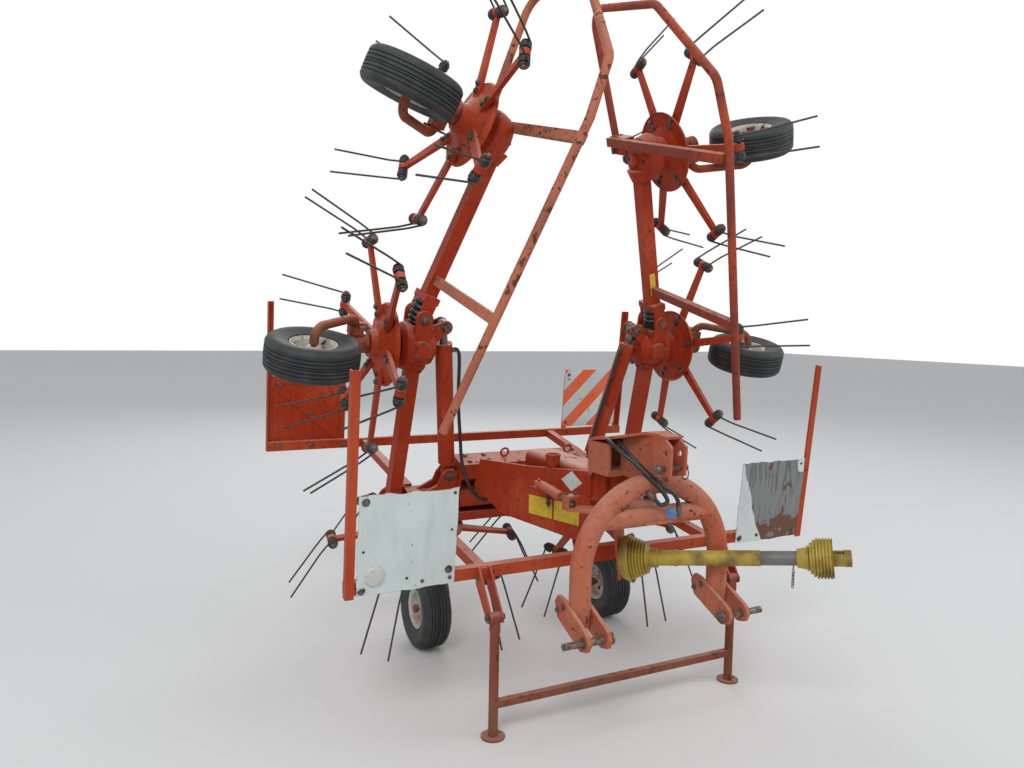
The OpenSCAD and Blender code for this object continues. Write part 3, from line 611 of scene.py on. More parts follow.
def moulded_plastic(name, plastic, dirt, dirty=0.5):
    """Guard plastic, dirty in its folds and scuffed pale."""
    finish = Finish(name)
    stains = finish.ramp(finish.noise(11, 7), 0.40, 0.68, 0, dirty)
    scuffs = finish.ramp(finish.noise(60, 5, finish.stretched(1, 3, 1)), 0.62, 0.7, 0, 0.35)
    colour = finish.mix(stains, plastic, dirt)
    colour = finish.mix(scuffs, colour, tuple(min(1, 1.6 * part + 0.04) for part in plastic))
    finish.surface(colour, finish.ramp(stains, 0, 1, 0.45, 0.75))
    finish.bump(finish.noise(180, 3), 0.15, 0.0006)


def chipped_board(name, white, primer, rust, peel):
    """Painted sheet, chipped in spots or peeled to primer and rust but for its left edge."""
    finish = Finish(name)
    flakes = finish.noise(9, 9)
    small = finish.noise(48, 7)
    if peel:
        across, _, height = finish.own()
        slant = finish.plus(finish.times(across, 0.5),
                             finish.times(height, 0.2))
        inside = finish.ramp(slant, 0.57, 0.62)
        corner = finish.times(finish.ramp(across, 1.10, 1.15),
                              finish.ramp(height, 0.92, 0.99))
        share = finish.less(inside, corner)
        lost = finish.ramp(finish.plus(finish.times(flakes, 0.5),
                                        finish.times(share, 0.55)), 0.42, 0.46)
        low = finish.ramp(height, 0.84, 0.66, 0, 1)
        rusty = finish.ramp(finish.plus(finish.times(finish.noise(13, 8), 0.75),
                                         finish.times(low, 0.22)), 0.50, 0.53)
        streaks = finish.ramp(finish.noise(30, 6, finish.stretched(2.2, 1, 0.35)), 0.45, 0.7)
        primer = finish.mix(streaks, primer, shade(primer, 0.45))
    else:
        lost = finish.ramp(small, 0.70, 0.74)
        rusty = finish.ramp(flakes, 0.4, 0.5)
    under = finish.mix(rusty, primer, shade(rust, 1.7))
    dirt = finish.ramp(finish.noise(5, 6, finish.stretched(3, 1, 0.6)), 0.45, 0.8, 0, 0.4)
    paint = finish.mix(dirt, white, shade(white, 0.72))
    edge = finish.times(finish.edges(0.005), finish.ramp(small, 0.42, 0.55))
    lost = finish.most(lost, edge)
    finish.surface(finish.mix(lost, paint, under), finish.ramp(lost, 0, 1, 0.4, 0.8))
    finish.bump(finish.less(1.0, lost), 0.4, 0.0006)


# Width of a stripe along the board, in metres
STRIPE_WIDTH = 0.11


def warning_stripes(name, stripe, white, rust):
    """Slanted orange and white stripes, scuffed."""
    finish = Finish(name)
    across, _, height = finish.own()
    slope = finish.maths("SUBTRACT", across, height, clamp=False)
    bands = finish.ramp(finish.maths("PINGPONG", slope, STRIPE_WIDTH, clamp=False),
                        0.053, 0.057)
    colour = finish.mix(bands, stripe, white)
    scuffs = finish.ramp(finish.noise(35, 8), 0.62, 0.7, 0, 0.7)
    fading = finish.ramp(finish.noise(6, 5), 0.4, 0.7, 0, 0.22)
    colour = finish.mix(fading, colour, shade(white, 0.5))
    finish.surface(finish.mix(scuffs, colour, rust), 0.5)
    finish.bump(finish.noise(160, 2), 0.1, 0.0005)


def plain_sheet(name, colour, rough=0.45):
    """A blank sticker or plate, a little dirty."""
    finish = Finish(name)
    dirt = finish.ramp(finish.noise(55, 7), 0.5, 0.75, 0, 0.5)
    finish.surface(finish.mix(dirt, colour, shade(colour, 0.45)), rough)
    finish.bump(finish.noise(200, 2), 0.05, 0.0004)


# Operators


# The photograph's camera: place, lens in mm, and yaw, pitch and roll in degrees
CAMERA_SPOT = (-2.0166, -3.405, 1.70)
LENS = 27.83
CAMERA_ANGLES = (27.1, 4.37, 1.14)


class TEDDER_OT_camera(bpy.types.Operator):
    """Sets the camera where the photograph was taken"""

    bl_idname = "tedder.camera"
    bl_label = "Camera"

    def execute(self, context):
        camera = bpy.data.cameras.new("camera")
        camera.sensor_width = 36
        camera.lens = LENS
        camera.clip_end = 200
        holder = bpy.data.objects.new("camera", camera)
        context.scene.collection.objects.link(holder)
        yaw, pitch, roll = (math.radians(angle) for angle in CAMERA_ANGLES)
        heading = Vector((math.sin(yaw) * math.cos(pitch), math.cos(yaw) * math.cos(pitch),
                          -math.sin(pitch)))
        look = heading.to_track_quat("-Z", "Y").to_matrix().to_4x4()
        holder.matrix_world = (
            at(*CAMERA_SPOT) @ look @ Matrix.Rotation(roll, 4, "Z")
        )
        context.scene.camera = holder
        return {"FINISHED"}


class TEDDER_OT_stage(bpy.types.Operator):
    """Adds the floor, the lamps and the sky"""

    bl_idname = "tedder.stage"
    bl_label = "Stage"

    def execute(self, context):
        floor = Shape()
        floor.add([(-40, -40, 0), (40, -40, 0), (40, 40, 0), (-40, 40, 0)], [[0, 1, 2, 3]])
        mesh = bpy.data.meshes.new("floor")
        mesh.from_pydata(floor.points, [], floor.faces)
        ground = bpy.data.objects.new("floor", mesh)
        context.scene.collection.objects.link(ground)
        finish = Finish("floor")
        finish.surface((0.74, 0.74, 0.73), 0.9)
        mesh.materials.append(finish.material)
        self.lamp(context, "key", (-5.5, -6.5, 8.5), 5.0, 520)
        self.lamp(context, "fill", (7.5, -5.0, 5.0), 5.0, 200)
        self.lamp(context, "rim", (3.0, 8.0, 7.0), 5.0, 220)
        self.sky(context)
        context.scene.view_settings.view_transform = "Standard"
        return {"FINISHED"}

    @staticmethod
    def lamp(context, name, spot, size, power):
        """A square lamp that faces the machine's middle."""
        light = bpy.data.lights.new(name, "AREA")
        light.size = size
        light.energy = power
        holder = bpy.data.objects.new(name, light)
        holder.location = spot
        aim = Vector((0, 0, 1.6)) - Vector(spot)
        holder.rotation_euler = aim.to_track_quat("-Z", "Y").to_euler()
        context.scene.collection.objects.link(holder)

    @staticmethod
    def sky(context):
        """White to the camera and in reflections, and a plain cool light on the machine."""
        world = bpy.data.worlds.new("sky")
        context.scene.world = world
        world.use_nodes = True
        nodes, links = world.node_tree.nodes, world.node_tree.links
        seen = nodes["Background"]
        seen.inputs["Color"].default_value = (1, 1, 1, 1)
        seen.inputs["Strength"].default_value = 1.0
        lit = nodes.new("ShaderNodeBackground")
        lit.inputs["Color"].default_value = (0.93, 0.96, 1.0, 1)
        lit.inputs["Strength"].default_value = 0.52
        path = nodes.new("ShaderNodeLightPath")
        white = path.outputs["Is Camera Ray"]
        for ray in ("Is Glossy Ray", "Is Transmission Ray"):
            either = nodes.new("ShaderNodeMath")
            either.operation = "MAXIMUM"
            links.new(white, either.inputs[0])
            links.new(path.outputs[ray], either.inputs[1])
            white = either.outputs[0]
        both = nodes.new("ShaderNodeMixShader")
        links.new(white, both.inputs[0])
        links.new(lit.outputs[0], both.inputs[1])
        links.new(seen.outputs[0], both.inputs[2])
        links.new(both.outputs[0], nodes["World Output"].inputs["Surface"])


# Finish of each CAD node that stays, by the first words of its name
NODE_FINISHES = [
    ("centre_wheel_legs", "grimy_paint"),
    ("centre", "red_paint"),
    ("nose", "sunned_paint"),
    ("front_rail", "rail_paint"),
    ("front_boards", "white_board"),
    ("rear_rail", "sunned_paint"),
    ("rear_boards", "red_paint"),
    ("stand", "stand_paint"),
    ("arch", "chalky_paint"),
    ("swivel_head", "chalky_paint"),
    ("link_pins", "rusty_steel"),
    ("drive_tube", "sleeve_plastic"),
    ("drive_yoke", "shield_plastic"),
    ("drive_guard", "shield_plastic"),
    ("damper_barrel", "chalky_paint"),
    ("damper_rod", "greasy_steel"),
    ("inner_wheel_leg", "grimy_paint"),
    ("outer_wheel_leg", "grimy_paint"),
    ("wing_guard_l", "guard_paint"),
    ("wing_guard_r", "dull_paint"),
    ("inner_", "red_paint"),
    ("outer_", "red_paint"),
    ("cylinder_barrel", "red_paint"),
    ("cylinder_rod", "greasy_steel"),
    ("rotor", "red_paint"),
    ("tines", "tine_steel"),
    ("wheel", "tyre_rubber"),
]


class TEDDER_OT_finishes(bpy.types.Operator):
    """Makes the finishes and gives each CAD node its own"""

    bl_idname = "tedder.finishes"
    bl_label = "Finishes"

    def execute(self, context):
        colours = context.scene.tedder_colours
        red, sunned, chalky, dull, grimy, rust, dust = (
            tuple(getattr(colours, name))
            for name in ("red", "sunned", "chalky", "dull", "grimy", "rust", "dust")
        )
        rim = tuple(colours.rim)
        # dusty sets the pale layer on tops, which is dust and a painted sky sheen
        for name, paint, pale, rusty, dusty, rough, scratched in (
            ("red_paint", red, sunned, 0.35, 0.5, 0.48, 0),
            ("rail_paint", sunned, red, 0.4, 0.5, 0.48, 0),
            ("sunned_paint", red, sunned, 0.5, 0.75, 0.48, 0),
            ("chalky_paint", chalky, sunned, 0.35, 0.4, 0.5, 1),
            ("guard_paint", chalky, grimy, 0.85, 0.4, 0.6, 0),
            ("dull_paint", dull, sunned, 0.6, 0.4, 0.55, 0),
            ("stand_paint", grimy, dull, 0.6, 0.4, 0.62, 0),
            ("grimy_paint", grimy, sunned, 0.8, 0.4, 0.62, 0),
            ("rim_paint", rim, shade(rim, 0.8), 0.55, 0.5, 0.48, 0),
        ):
            worn_paint(name, paint, pale, rust, dust, rusty, dusty, rough, scratched)
        steel = tuple(colours.steel)
        bare_steel("rusty_steel", steel, shade(rust, 1.6), 0.9)
        bare_steel("greasy_steel", steel, rust, 0.45)
        bare_steel("bolt_steel", shade(steel, 0.8), rust, 0.6)
        bare_steel("tine_steel", tuple(colours.wire), rust, 0.25, 0.45)
        weathered_rubber("tyre_rubber", tuple(colours.rubber), (0.10, 0.085, 0.07), 0.4)
        weathered_rubber("hose_rubber", tuple(colours.hose), (0.10, 0.085, 0.07), 0.25, 0.4)
        moulded_plastic("shield_plastic", tuple(colours.shield), (0.13, 0.08, 0.03), 0.8)
        moulded_plastic("sleeve_plastic", tuple(colours.sleeve), (0.09, 0.07, 0.05), 0.6)
        white, primer = tuple(colours.board), tuple(colours.primer)
        chipped_board("white_board", white, primer, rust, peel=False)
        chipped_board("peeling_board", white, primer, rust, peel=True)
        warning_stripes("striped_board", tuple(colours.stripe), white, rust)
        plain_sheet("yellow_sticker", tuple(colours.sticker))
        plain_sheet("white_plate", white)
        plain_sheet("blue_sticker", (0.06, 0.2, 0.42))
        plain_sheet("pale_reflector", (0.55, 0.54, 0.50), 0.25)
        # Near-black painted shade, laid on the boards where holes show only shadow
        plain_sheet("hole_shade", (0.02, 0.018, 0.017), 0.9)
        for name, node in frame["nodes"].items():
            finish = next(made for start, made in NODE_FINISHES if name.startswith(start))
            node.data.materials.clear()
            node.data.materials.append(FINISHES[finish])
        return {"FINISHED"}


# Half of the tyre's outline from the bead to the tread's middle: radius, half width
TYRE_OUTLINE = [
    (0.1025, 0.050), (0.108, 0.060), (0.128, 0.0655), (0.145, 0.070), (0.160, 0.0742),
    (0.172, 0.0749), (0.183, 0.0735), (0.192, 0.068), (0.1985, 0.0605), (0.2015, 0.0535),
]
TREAD_HALF = 0.0535
CROWN = 0.205
# How much the crown's radius falls, per square of the distance from the middle
TREAD_BOW = 0.035 / TREAD_HALF
# Ribs of the tread from the shoulder in: outer and inner edge
TREAD_RIBS = [(TREAD_HALF, 0.0400), (0.0355, 0.0235), (0.0190, 0.0070), (0.0025, -0.0025)]


class TEDDER_OT_wheels(bpy.types.Operator):
    """Makes the ribbed tyres and dished rims in place of the plain wheels"""

    bl_idname = "tedder.wheels"
    bl_label = "Wheels"

    def execute(self, context):
        groove = context.scene.tedder_sizes.groove
        for number in range(1, 7):
            place = wheel_place(number)
            tyre = Shape()
            tyre.lathe(self.tyre_outline(groove), place, 72)
            tyre_piece = tyre.piece(f"tyre_{number}", f"wheel_{number}",
                                    ["tyre_rubber"], crease=28)
            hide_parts(f"wheel_{number}")
            rim = Shape()
            rim.lathe([(0.1022, -0.057), (0.1022, 0.057), (0.096, 0.057), (0.092, 0.050),
                       (0.086, 0.046), (0.081, 0.012), (0.070, 0.004), (0.034, 0.007),
                       (0.030, 0.040), (0.0125, 0.040), (0.0125, -0.040), (0.030, -0.040),
                       (0.034, -0.006), (0.070, -0.008), (0.081, -0.014), (0.086, -0.046),
                       (0.092, -0.050), (0.096, -0.057)], place, 48)
            for bolt in range(5):
                for face in (1, -1):
                    spot = turn(72 * bolt, "Z") @ at(0.052, 0, 0.0055 * face)
                    if face < 0:
                        spot = spot @ turn(180, "X")
                    rim.bolt(place @ spot, 0.008, 0.009, 1)
            rim.piece(f"rim_{number}", f"wheel_{number}", ["rim_paint", "bolt_steel"],
                      crease=30)
        return {"FINISHED"}

    @staticmethod
    def tyre_outline(groove):
        """The whole outline, with a groove between each two ribs."""
        half = list(TYRE_OUTLINE)
        for outer, inner in TREAD_RIBS[:-1]:
            half += [(CROWN - TREAD_BOW * outer * outer, outer - 0.0008),
                     (CROWN - TREAD_BOW * inner * inner, inner + 0.0008),
                     (CROWN - groove, inner - 0.0004), (CROWN - groove, inner - 0.0041)]
        half.append((CROWN, TREAD_RIBS[-1][0]))
        other = [(radius, -across) for radius, across in reversed(half)]
        return half + other + [(0.1025, -0.050)]


class TEDDER_OT_tines(bpy.types.Operator):
    """Winds the double spring tines in place of the plain ones"""

    bl_idname = "tedder.tines"
    bl_label = "Spring tines"

    def execute(self, context):
        sizes = context.scene.tedder_sizes
        for number in range(1, 7):
            shape = Shape()
            for angle in arm_angles(number):
                hub = rotor_place(number) @ turn(angle, "Z") @ at(0.487, 0, -0.224)
                for side in (-1, 1):
                    half = hub @ Matrix.Diagonal((1, side, 1, 1))
                    shape.tube(self.wire_path(sizes), sizes.wire / 2, half, 8)
                    self.bolt_end(shape, half)
                shape.tube([(0, -0.03, 0), (0, 0.03, 0)], 0.0085, hub, 10, 1)
            made = shape.piece(f"spring_tines_{number}", f"rotor_{number}",
                               ["tine_steel", "bolt_steel"], crease=50)
            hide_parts(f"tines_{number}")
        return {"FINISHED"}

    @staticmethod
    def wire_path(sizes):
        """One side of a tine: from its leg's tip round the coil to the middle loop."""
        radius = sizes.coil - sizes.wire / 2
        slope = math.radians(56)
        along = Vector((math.cos(slope), 0, -math.sin(slope)))
        off = Vector((math.sin(slope), 0, math.cos(slope)))
        near, straight = 0.020, 0.08
        far = near + 4 * sizes.wire - sizes.wire / 2
        start = off * radius + Vector((0, far, 0))
        bend = start + along * straight
        splayed = (0.995 * along - 0.087 * off + Vector((0, 0.052, 0))).normalized()
        path = [bend + splayed * (sizes.leg - straight), bend + splayed * 0.12,
                bend + splayed * 0.012, bend - along * 0.012, start + along * 0.03]
        turns, steps = 3.6, 50
        begin = math.atan2(off.z, off.x)
        for step in range(steps + 1):
            share = step / steps
            angle = begin + 2 * math.pi * turns * share
            across = far - (far - near - sizes.wire / 2) * share
            path.append(Vector((radius * math.cos(angle), across, radius * math.sin(angle))))
        return path

    @staticmethod
    def bolt_end(shape, half):
        """Washer, cup and nut that hold a coil on its bolt."""
        cup = half @ at(0, 0.059, 0) @ turn(-90, "X")
        shape.disc(0.021, 0, 0.003, cup, 16, 1)
        shape.bolt(cup @ at(0, 0, 0.003), 0.0125, 0.011, 1)
        inside = half @ at(0, 0.022, 0) @ turn(-90, "X")
        shape.lathe([(0.0085, 0), (0.0155, 0), (0.0155, 0.034), (0.0085, 0.034)], inside, 12, 1)


class TEDDER_OT_rotors(bpy.types.Operator):
    """Adds the bolts of the rotor arms"""

    bl_idname = "tedder.rotors"
    bl_label = "Rotor bolts"

    def execute(self, context):
        size = context.scene.tedder_sizes.bolt
        for number in range(1, 7):
            shape = Shape()
            place = rotor_place(number)
            for angle in arm_angles(number):
                arm = place @ turn(angle, "Z")
                for reach in (0.142, 0.178):
                    shape.bolt(arm @ at(reach, 0, -0.150), size, 0.011)
                    below = ARM_ROOT[1] - (reach - ARM_ROOT[0]) * ARM_FALL
                    shape.bolt(arm @ at(reach, 0, below) @ turn(180, "X") @ turn(8, "Y"),
                               size, 0.012)
            shape.piece(f"arm_bolts_{number}", f"rotor_{number}", ["bolt_steel"])
        return {"FINISHED"}


class TEDDER_OT_boards(bpy.types.Operator):
    """Makes the dented boards with their rivets in place of the flat ones"""

    bl_idname = "tedder.boards"
    bl_label = "Boards"

    def execute(self, context):
        self.front_left()
        self.front_right()
        self.rear_left()
        self.rear_right()
        return {"FINISHED"}

    @staticmethod
    def fastener(shape, place, x, z, radius=0.011):
        """A bolt head with its washer on a sheet's front."""
        shape.bolt(place @ at(x, -0.003, z) @ turn(90, "X"), radius, 0.007, 1)

    @staticmethod
    def hole(shape, place, x, z, radius):
        """A hole with a raised lip, drawn as a thin disc of near-black painted shade."""
        spot = place @ at(x, -0.0035, z) @ turn(90, "X")
        shape.disc(radius, 0, 0.0008, spot, 14, 2)

    def front_left(self):
        """White, torn at its edges, with old holes and a pale reflector."""
        shape = Shape()
        place = leaning(FRONT_RAIL) @ at(-1.179, -0.006, 0.622)
        sheet(shape, place, (0.423, 0.423), 0.003, torn=0.012, dented=0.005)
        for x, z in ((0.034, 0.385), (0.026, 0.026), (0.392, 0.070)):
            self.fastener(shape, place, x, z)
        # Old holes, drawn as discs of painted shade
        for x, z, radius in ((0.404, 0.395, 0.006), (0.214, 0.212, 0.009), (0.212, 0.138, 0.009),
                             (0.030, 0.185, 0.005), (0.398, 0.240, 0.005), (0.212, 0.055, 0.006),
                             (0.196, 0.190, 0.0025), (0.230, 0.192, 0.0025),
                             (0.192, 0.118, 0.0025), (0.232, 0.120, 0.0025),
                             (0.178, 0.112, 0.003), (0.213, 0.160, 0.0025),
                             (0.213, 0.175, 0.0035), (0.213, 0.190, 0.0025)):
            self.hole(shape, place, x, z, radius)
        reflector = place @ at(0.078, -0.002, 0.080) @ turn(90, "X")
        shape.lathe([(AXIS, 0), (0.040, 0), (0.040, 0.004), (0.036, 0.0075),
                     (0.020, 0.010), (AXIS, 0.011)], reflector, 40, 3)
        shape.piece("front_left_board", "frame",
                    ["white_board", "bolt_steel", "hole_shade", "pale_reflector"], crease=30)

    def front_right(self):
        """The same sheet with its paint peeled to primer and rust."""
        shape = Shape()
        place = leaning(FRONT_RAIL) @ at(0.756, -0.006, 0.622)
        sheet(shape, place, (0.423, 0.423), 0.003, torn=0.009, dented=0.004)
        for x, z in ((0.396, 0.030), (0.028, 0.030)):
            self.fastener(shape, place, x, z)
        self.hole(shape, place, 0.398, 0.392, 0.006)
        made = shape.piece("front_right_board", "frame",
                           ["peeling_board", "bolt_steel", "hole_shade"], crease=30)
        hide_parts("front_boards")

    def rear_left(self):
        """Red sheet behind its angle iron, held by bolts."""
        shape = Shape()
        place = leaning(REAR_RAIL) @ at(-1.200, 0.009, 0.950)
        sheet(shape, place, (0.443, 0.423), 0.003, dented=0.0015)
        bolts = leaning(REAR_RAIL) @ at(-1.200, 0.003, 0.950)
        for x, z in ((0.050, 0.030), (0.410, 0.030), (0.048, 0.380), (0.060, 0.372),
                     (0.230, 0.205)):
            self.fastener(shape, bolts, x, z, 0.009)
        shape.piece("rear_left_board", "frame", ["red_paint", "bolt_steel"],
                    crease=30)

    def rear_right(self):
        """Striped sheet that faces the front."""
        shape = Shape()
        place = leaning(REAR_RAIL) @ at(0.757, 0, 1.000)
        sheet(shape, place, (0.425, 0.395), 0.003, dented=0.0015)
        for x, z in ((0.030, 0.360), (0.385, 0.360), (0.030, 0.030), (0.385, 0.030)):
            self.fastener(shape, place, x, z, 0.008)
        made = shape.piece("rear_right_board", "frame",
                           ["striped_board", "bolt_steel"], crease=30)
        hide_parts("rear_boards")


class TEDDER_OT_driveline(bpy.types.Operator):
    """Makes the ribbed guard of the driveline and its chain"""

    bl_idname = "tedder.driveline"
    bl_label = "Driveline"

    def execute(self, context):
        place = driveline_place()
        shape = Shape()
        near = [(0.070, 0.028), (0.088, 0.028), (0.110, 0.075), (0.106, 0.075), (0.092, 0.050),
                (0.088, 0.058)]
        for rib in range(7):
            height = 0.062 + 0.0125 * rib
            reach = 0.099 - 0.0052 * rib
            near += [(reach - 0.008, height), (reach, height + 0.003), (reach, height + 0.0075),
                     (reach - 0.009, height + 0.0105)]
        near += [(0.052, 0.151), (0.042, 0.156), (0.042, 0.186), (0.0335, 0.190),
                 (0.0335, 0.258), (0.0360, 0.260), (0.0360, 0.270), (0.0330, 0.272),
                 (0.0330, 0.620), (0.028, 0.620), (0.028, 0.150), (0.060, 0.110)]
        shape.lathe(near, place, 48)
        foot = OUTER_GUARD
        far = [(0.0205, foot), (0.038, foot), (0.044, foot + 0.028)]
        for rib in range(8):
            height = foot + 0.036 + 0.0125 * rib
            reach = min(0.083, 0.052 + 0.012 * rib)
            far += [(reach - 0.008, height), (reach, height + 0.003), (reach, height + 0.008),
                    (reach - 0.008, height + 0.011)]
        far += [(0.083, foot + 0.140), (0.076, foot + 0.140), (0.070, foot + 0.070),
                (0.058, foot + 0.050), (0.0205, foot + 0.050)]
        shape.lathe(far, place, 48)
        made = shape.piece("ribbed_guard", "headstock", ["shield_plastic"])
        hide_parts("drive_guard")
        self.chain(place @ Vector((0, 0, foot - 0.012)))
        return {"FINISHED"}

    @staticmethod
    def chain(top):
        """The short chain that kept the guard from turning, hanging from the guard."""
        shape = Shape()
        hook = [top + Vector((0, 0, height)) for height in (-0.030, -0.038, -0.048)]
        shape.tube(hook, 0.003, sides=6)
        for link in range(6):
            middle = top + Vector((0, 0, -0.055 - 0.0125 * link))
            across = (0.0055, 0, 0) if link % 2 else (0, 0.0055, 0)
            shape.tube(ring(middle, across, (0, 0, 0.009), 12), 0.0019, sides=6)
        shape.piece("guard_chain", "headstock", ["bolt_steel"])


class TEDDER_OT_hoses(bpy.types.Operator):
    """Runs the hydraulic hoses of the cylinders and the lines over the arch"""

    bl_idname = "tedder.hoses"
    bl_label = "Hoses"

    def execute(self, context):
        radius = context.scene.tedder_sizes.hose
        for side in (1, -1):
            self.cylinder_hose(side, radius)
        self.arch_hoses(radius)
        return {"FINISHED"}

    @staticmethod
    def cylinder_hose(side, radius):
        """From the barrel's head down its inner side, in a loop into the frame's open box."""
        place = mirror(side) @ cylinder_place(side)
        low = Vector(JOINTS["cylinder_swing_r"]["pos_m"])
        head = place @ Vector((0.690, -0.030, 0.060))
        route = [place @ Vector((0.690, -0.020, 0.038)), head,
                 place @ Vector((0.640, -0.040, 0.066)), place @ Vector((0.420, -0.034, 0.060)),
                 place @ Vector((0.220, -0.040, 0.064)), low + Vector((-0.052, -0.085, 0.060)),
                 low + Vector((-0.085, -0.115, -0.060)), low + Vector((-0.150, -0.115, -0.130)),
                 low + Vector((-0.230, -0.070, -0.135)), low + Vector((-0.300, -0.020, -0.128))]
        shape = Shape()
        shape.tube(smooth_path([mirror(side) @ point for point in route], 7), radius, sides=12)
        nut = [mirror(side) @ point for point in (route[0], head)]
        shape.tube([nut[0], nut[0].lerp(nut[1], 0.75)], 0.013, sides=6, finish=1)
        name = SIDE_NAMES[side]
        made = shape.piece(f"cylinder_hose_{name}", None,
                           ["hose_rubber", "bolt_steel"], crease=50)
        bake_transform(made)

    @staticmethod
    def arch_hoses(radius):
        """Two lines that come out of the head, lie over the arch and curl at their couplers."""
        shape = Shape()
        routes = [
            [(-0.085, -0.560, 1.203), (-0.120, -0.610, 1.215), (-0.128, -0.700, 1.185),
             (-0.090, -0.790, 1.128), (-0.048, -0.848, 1.068), (-0.006, -0.856, 1.020),
             (0.016, -0.852, 0.985), (-0.012, -0.846, 0.972), (-0.044, -0.842, 1.000)],
            [(-0.060, -0.575, 1.203), (-0.088, -0.640, 1.212), (-0.098, -0.730, 1.172),
             (-0.058, -0.812, 1.100), (-0.020, -0.848, 1.056), (0.034, -0.854, 1.026),
             (0.064, -0.856, 0.990), (0.070, -0.857, 0.962)],
        ]
        for route in routes:
            shape.tube(smooth_path(route, 8), radius, sides=12)
            ends = [Vector(point) for point in route[-2:]]
            step = (ends[1] - ends[0]).normalized()
            shape.tube([ends[1] - step * 0.004, ends[1] + step * 0.022], 0.0125, sides=6, finish=1)
            shape.tube([ends[1] + step * 0.022, ends[1] + step * 0.044], 0.0105, sides=14,
                       finish=1)
        shape.piece("tractor_lines", "headstock", ["hose_rubber", "bolt_steel"],
                    crease=50)


class TEDDER_OT_joints(bpy.types.Operator):
    """Adds the boots of the outer drive joints and the washers and split pins of the hinges"""

    bl_idname = "tedder.joints"
    bl_label = "Joints"

    def execute(self, context):
        for side in (1, -1):
            self.boot(side)
            self.pins(side)
        return {"FINISHED"}

    @staticmethod
    def boot(side):
        """The black bellows round the drive joint at an outer hinge."""
        inner, outer = wing_place(side, 1), wing_place(side, 2)
        path, radii = [], []
        corners = [inner @ Vector((0.948, 0, 0.004)), outer @ Vector((0, 0, 0.002)),
                   outer @ Vector((0.082, 0, 0))]
        for index, point in enumerate(smooth_path(corners, 9)):
            path.append(point)
            radii.append(0.052 if index % 3 else 0.042)
        shape = Shape()
        shape.tube(path, radii, sides=28)
        name = SIDE_NAMES[side]
        made = shape.piece(f"joint_boot_{name}", None, ["hose_rubber"], crease=60)
        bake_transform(made)

    @staticmethod
    def pins(side):
        """Washers, split pins and heads, on the body that holds each pin."""
        holders = {
            "frame": [(wing_place(side, 0) @ at(0.725, 0, 0), 0.069, 0.015),
                      (wing_place(side, 0) @ at(0.440, 0, 0.140), 0.042, 0.015)],
            wing_body(side, 1): [(wing_place(side, 1) @ at(0.995, 0, 0), 0.088, 0.015),
                                 (wing_place(side, 1) @ at(0.950, 0, 0.132), 0.042, 0.015)],
        }
        for body, pins in holders.items():
            shape = Shape()
            for place, reach, radius in pins:
                for end in (1, -1):
                    face = place @ Matrix.Diagonal((1, end, 1, 1)) @ at(0, reach, 0)
                    out = face @ turn(-90, "X")
                    shape.lathe([(radius, 0), (radius * 1.75, 0), (radius * 1.75, 0.0035),
                                 (radius, 0.0035)], out, 24)
                    shape.lathe([(AXIS, -0.006), (radius * 0.97, -0.006),
                                 (radius * 0.97, 0.009), (radius * 0.8, 0.012),
                                 (AXIS, 0.012)], out, 24, 0)
                    shape.tube([out @ Vector((-0.024, 0.004, 0.0065)),
                                out @ Vector((0.022, -0.003, 0.0065))], 0.0022, sides=6)
            # The pin that the rod eye swings on
            if body.startswith("inner"):
                shape.tube([pins[1][0] @ Vector((0, -0.041, 0)),
                            pins[1][0] @ Vector((0, 0.041, 0))], 0.0146, sides=24)
            shape.piece(f"hinge_fittings_{body}_{SIDE_NAMES[side]}", body,
                        ["bolt_steel"])


class TEDDER_OT_castings(bpy.types.Operator):
    """Adds the bolts, plugs and covers of the six castings"""

    bl_idname = "tedder.castings"
    bl_label = "Castings"

    def execute(self, context):
        size = context.scene.tedder_sizes.bolt
        for number, (side, wing) in enumerate(ROTORS, 1):
            place = rotor_place(number)
            shape = Shape()
            if wing == 0:
                for angle in (48, 72, 108, 132, 228, 252, 288, 312):
                    shape.bolt(place @ turn(angle, "Z") @ at(0.104, 0, -0.045), 0.008, 0.008)
            elif wing == 1:
                for step in range(8):
                    shape.bolt(place @ turn(22.5 + 45 * step, "Z") @ at(0.1075, 0, -0.040),
                               0.0058, 0.008)
                for x, y in ((0.040, 0.058), (0.040, -0.058), (0.092, 0.058), (0.092, -0.058)):
                    shape.bolt(place @ at(x, y, 0.056), size * 0.8, 0.009)
                for x in (-0.095, -0.118):
                    for y in (0.030, -0.030):
                        shape.bolt(place @ at(x, y, 0.0475 if x > -0.11 else 0.033),
                                   size * 0.8, 0.009)
                shape.lathe([(AXIS, 0.090), (0.026, 0.090), (0.024, 0.101), (0.012, 0.105),
                             (AXIS, 0.105)], place, 24, 1)
                self.cover(shape, place)
            else:
                for step in range(6):
                    shape.bolt(place @ turn(30 + 60 * step, "Z") @ at(0.066, 0, 0.0275),
                               0.0075, 0.008)
                shape.lathe([(AXIS, 0.030), (0.034, 0.030), (0.030, 0.043), (0.016, 0.049),
                             (AXIS, 0.050)], place, 28, 1)
                for y in (0.19, 0.21):
                    shape.bolt(place @ at(0.030, y, 0.022), size, 0.010)
                for x in (0.070, 0.090):
                    shape.bolt(place @ at(x, 0.188, 0.042), size, 0.010)
            shape.piece(f"casting_bolts_{number}", wing_body(side, wing),
                        ["bolt_steel", "red_paint"])
        return {"FINISHED"}

    @staticmethod
    def cover(shape, place):
        """The bolted covers on the front and back of an inner casting."""
        for end in (1, -1):
            face = place @ Matrix.Diagonal((1, end, 1, 1)) @ at(0, 0.086, 0.004) @ turn(-90, "X")
            shape.lathe([(AXIS, 0), (0.050, 0), (0.050, 0.020), (0.046, 0.023),
                         (0.020, 0.025), (AXIS, 0.025)], face, 32, 1)
            for step in range(6):
                shape.bolt(face @ turn(60 * step, "Z") @ at(0.038, 0, 0.0235), 0.006, 0.006)


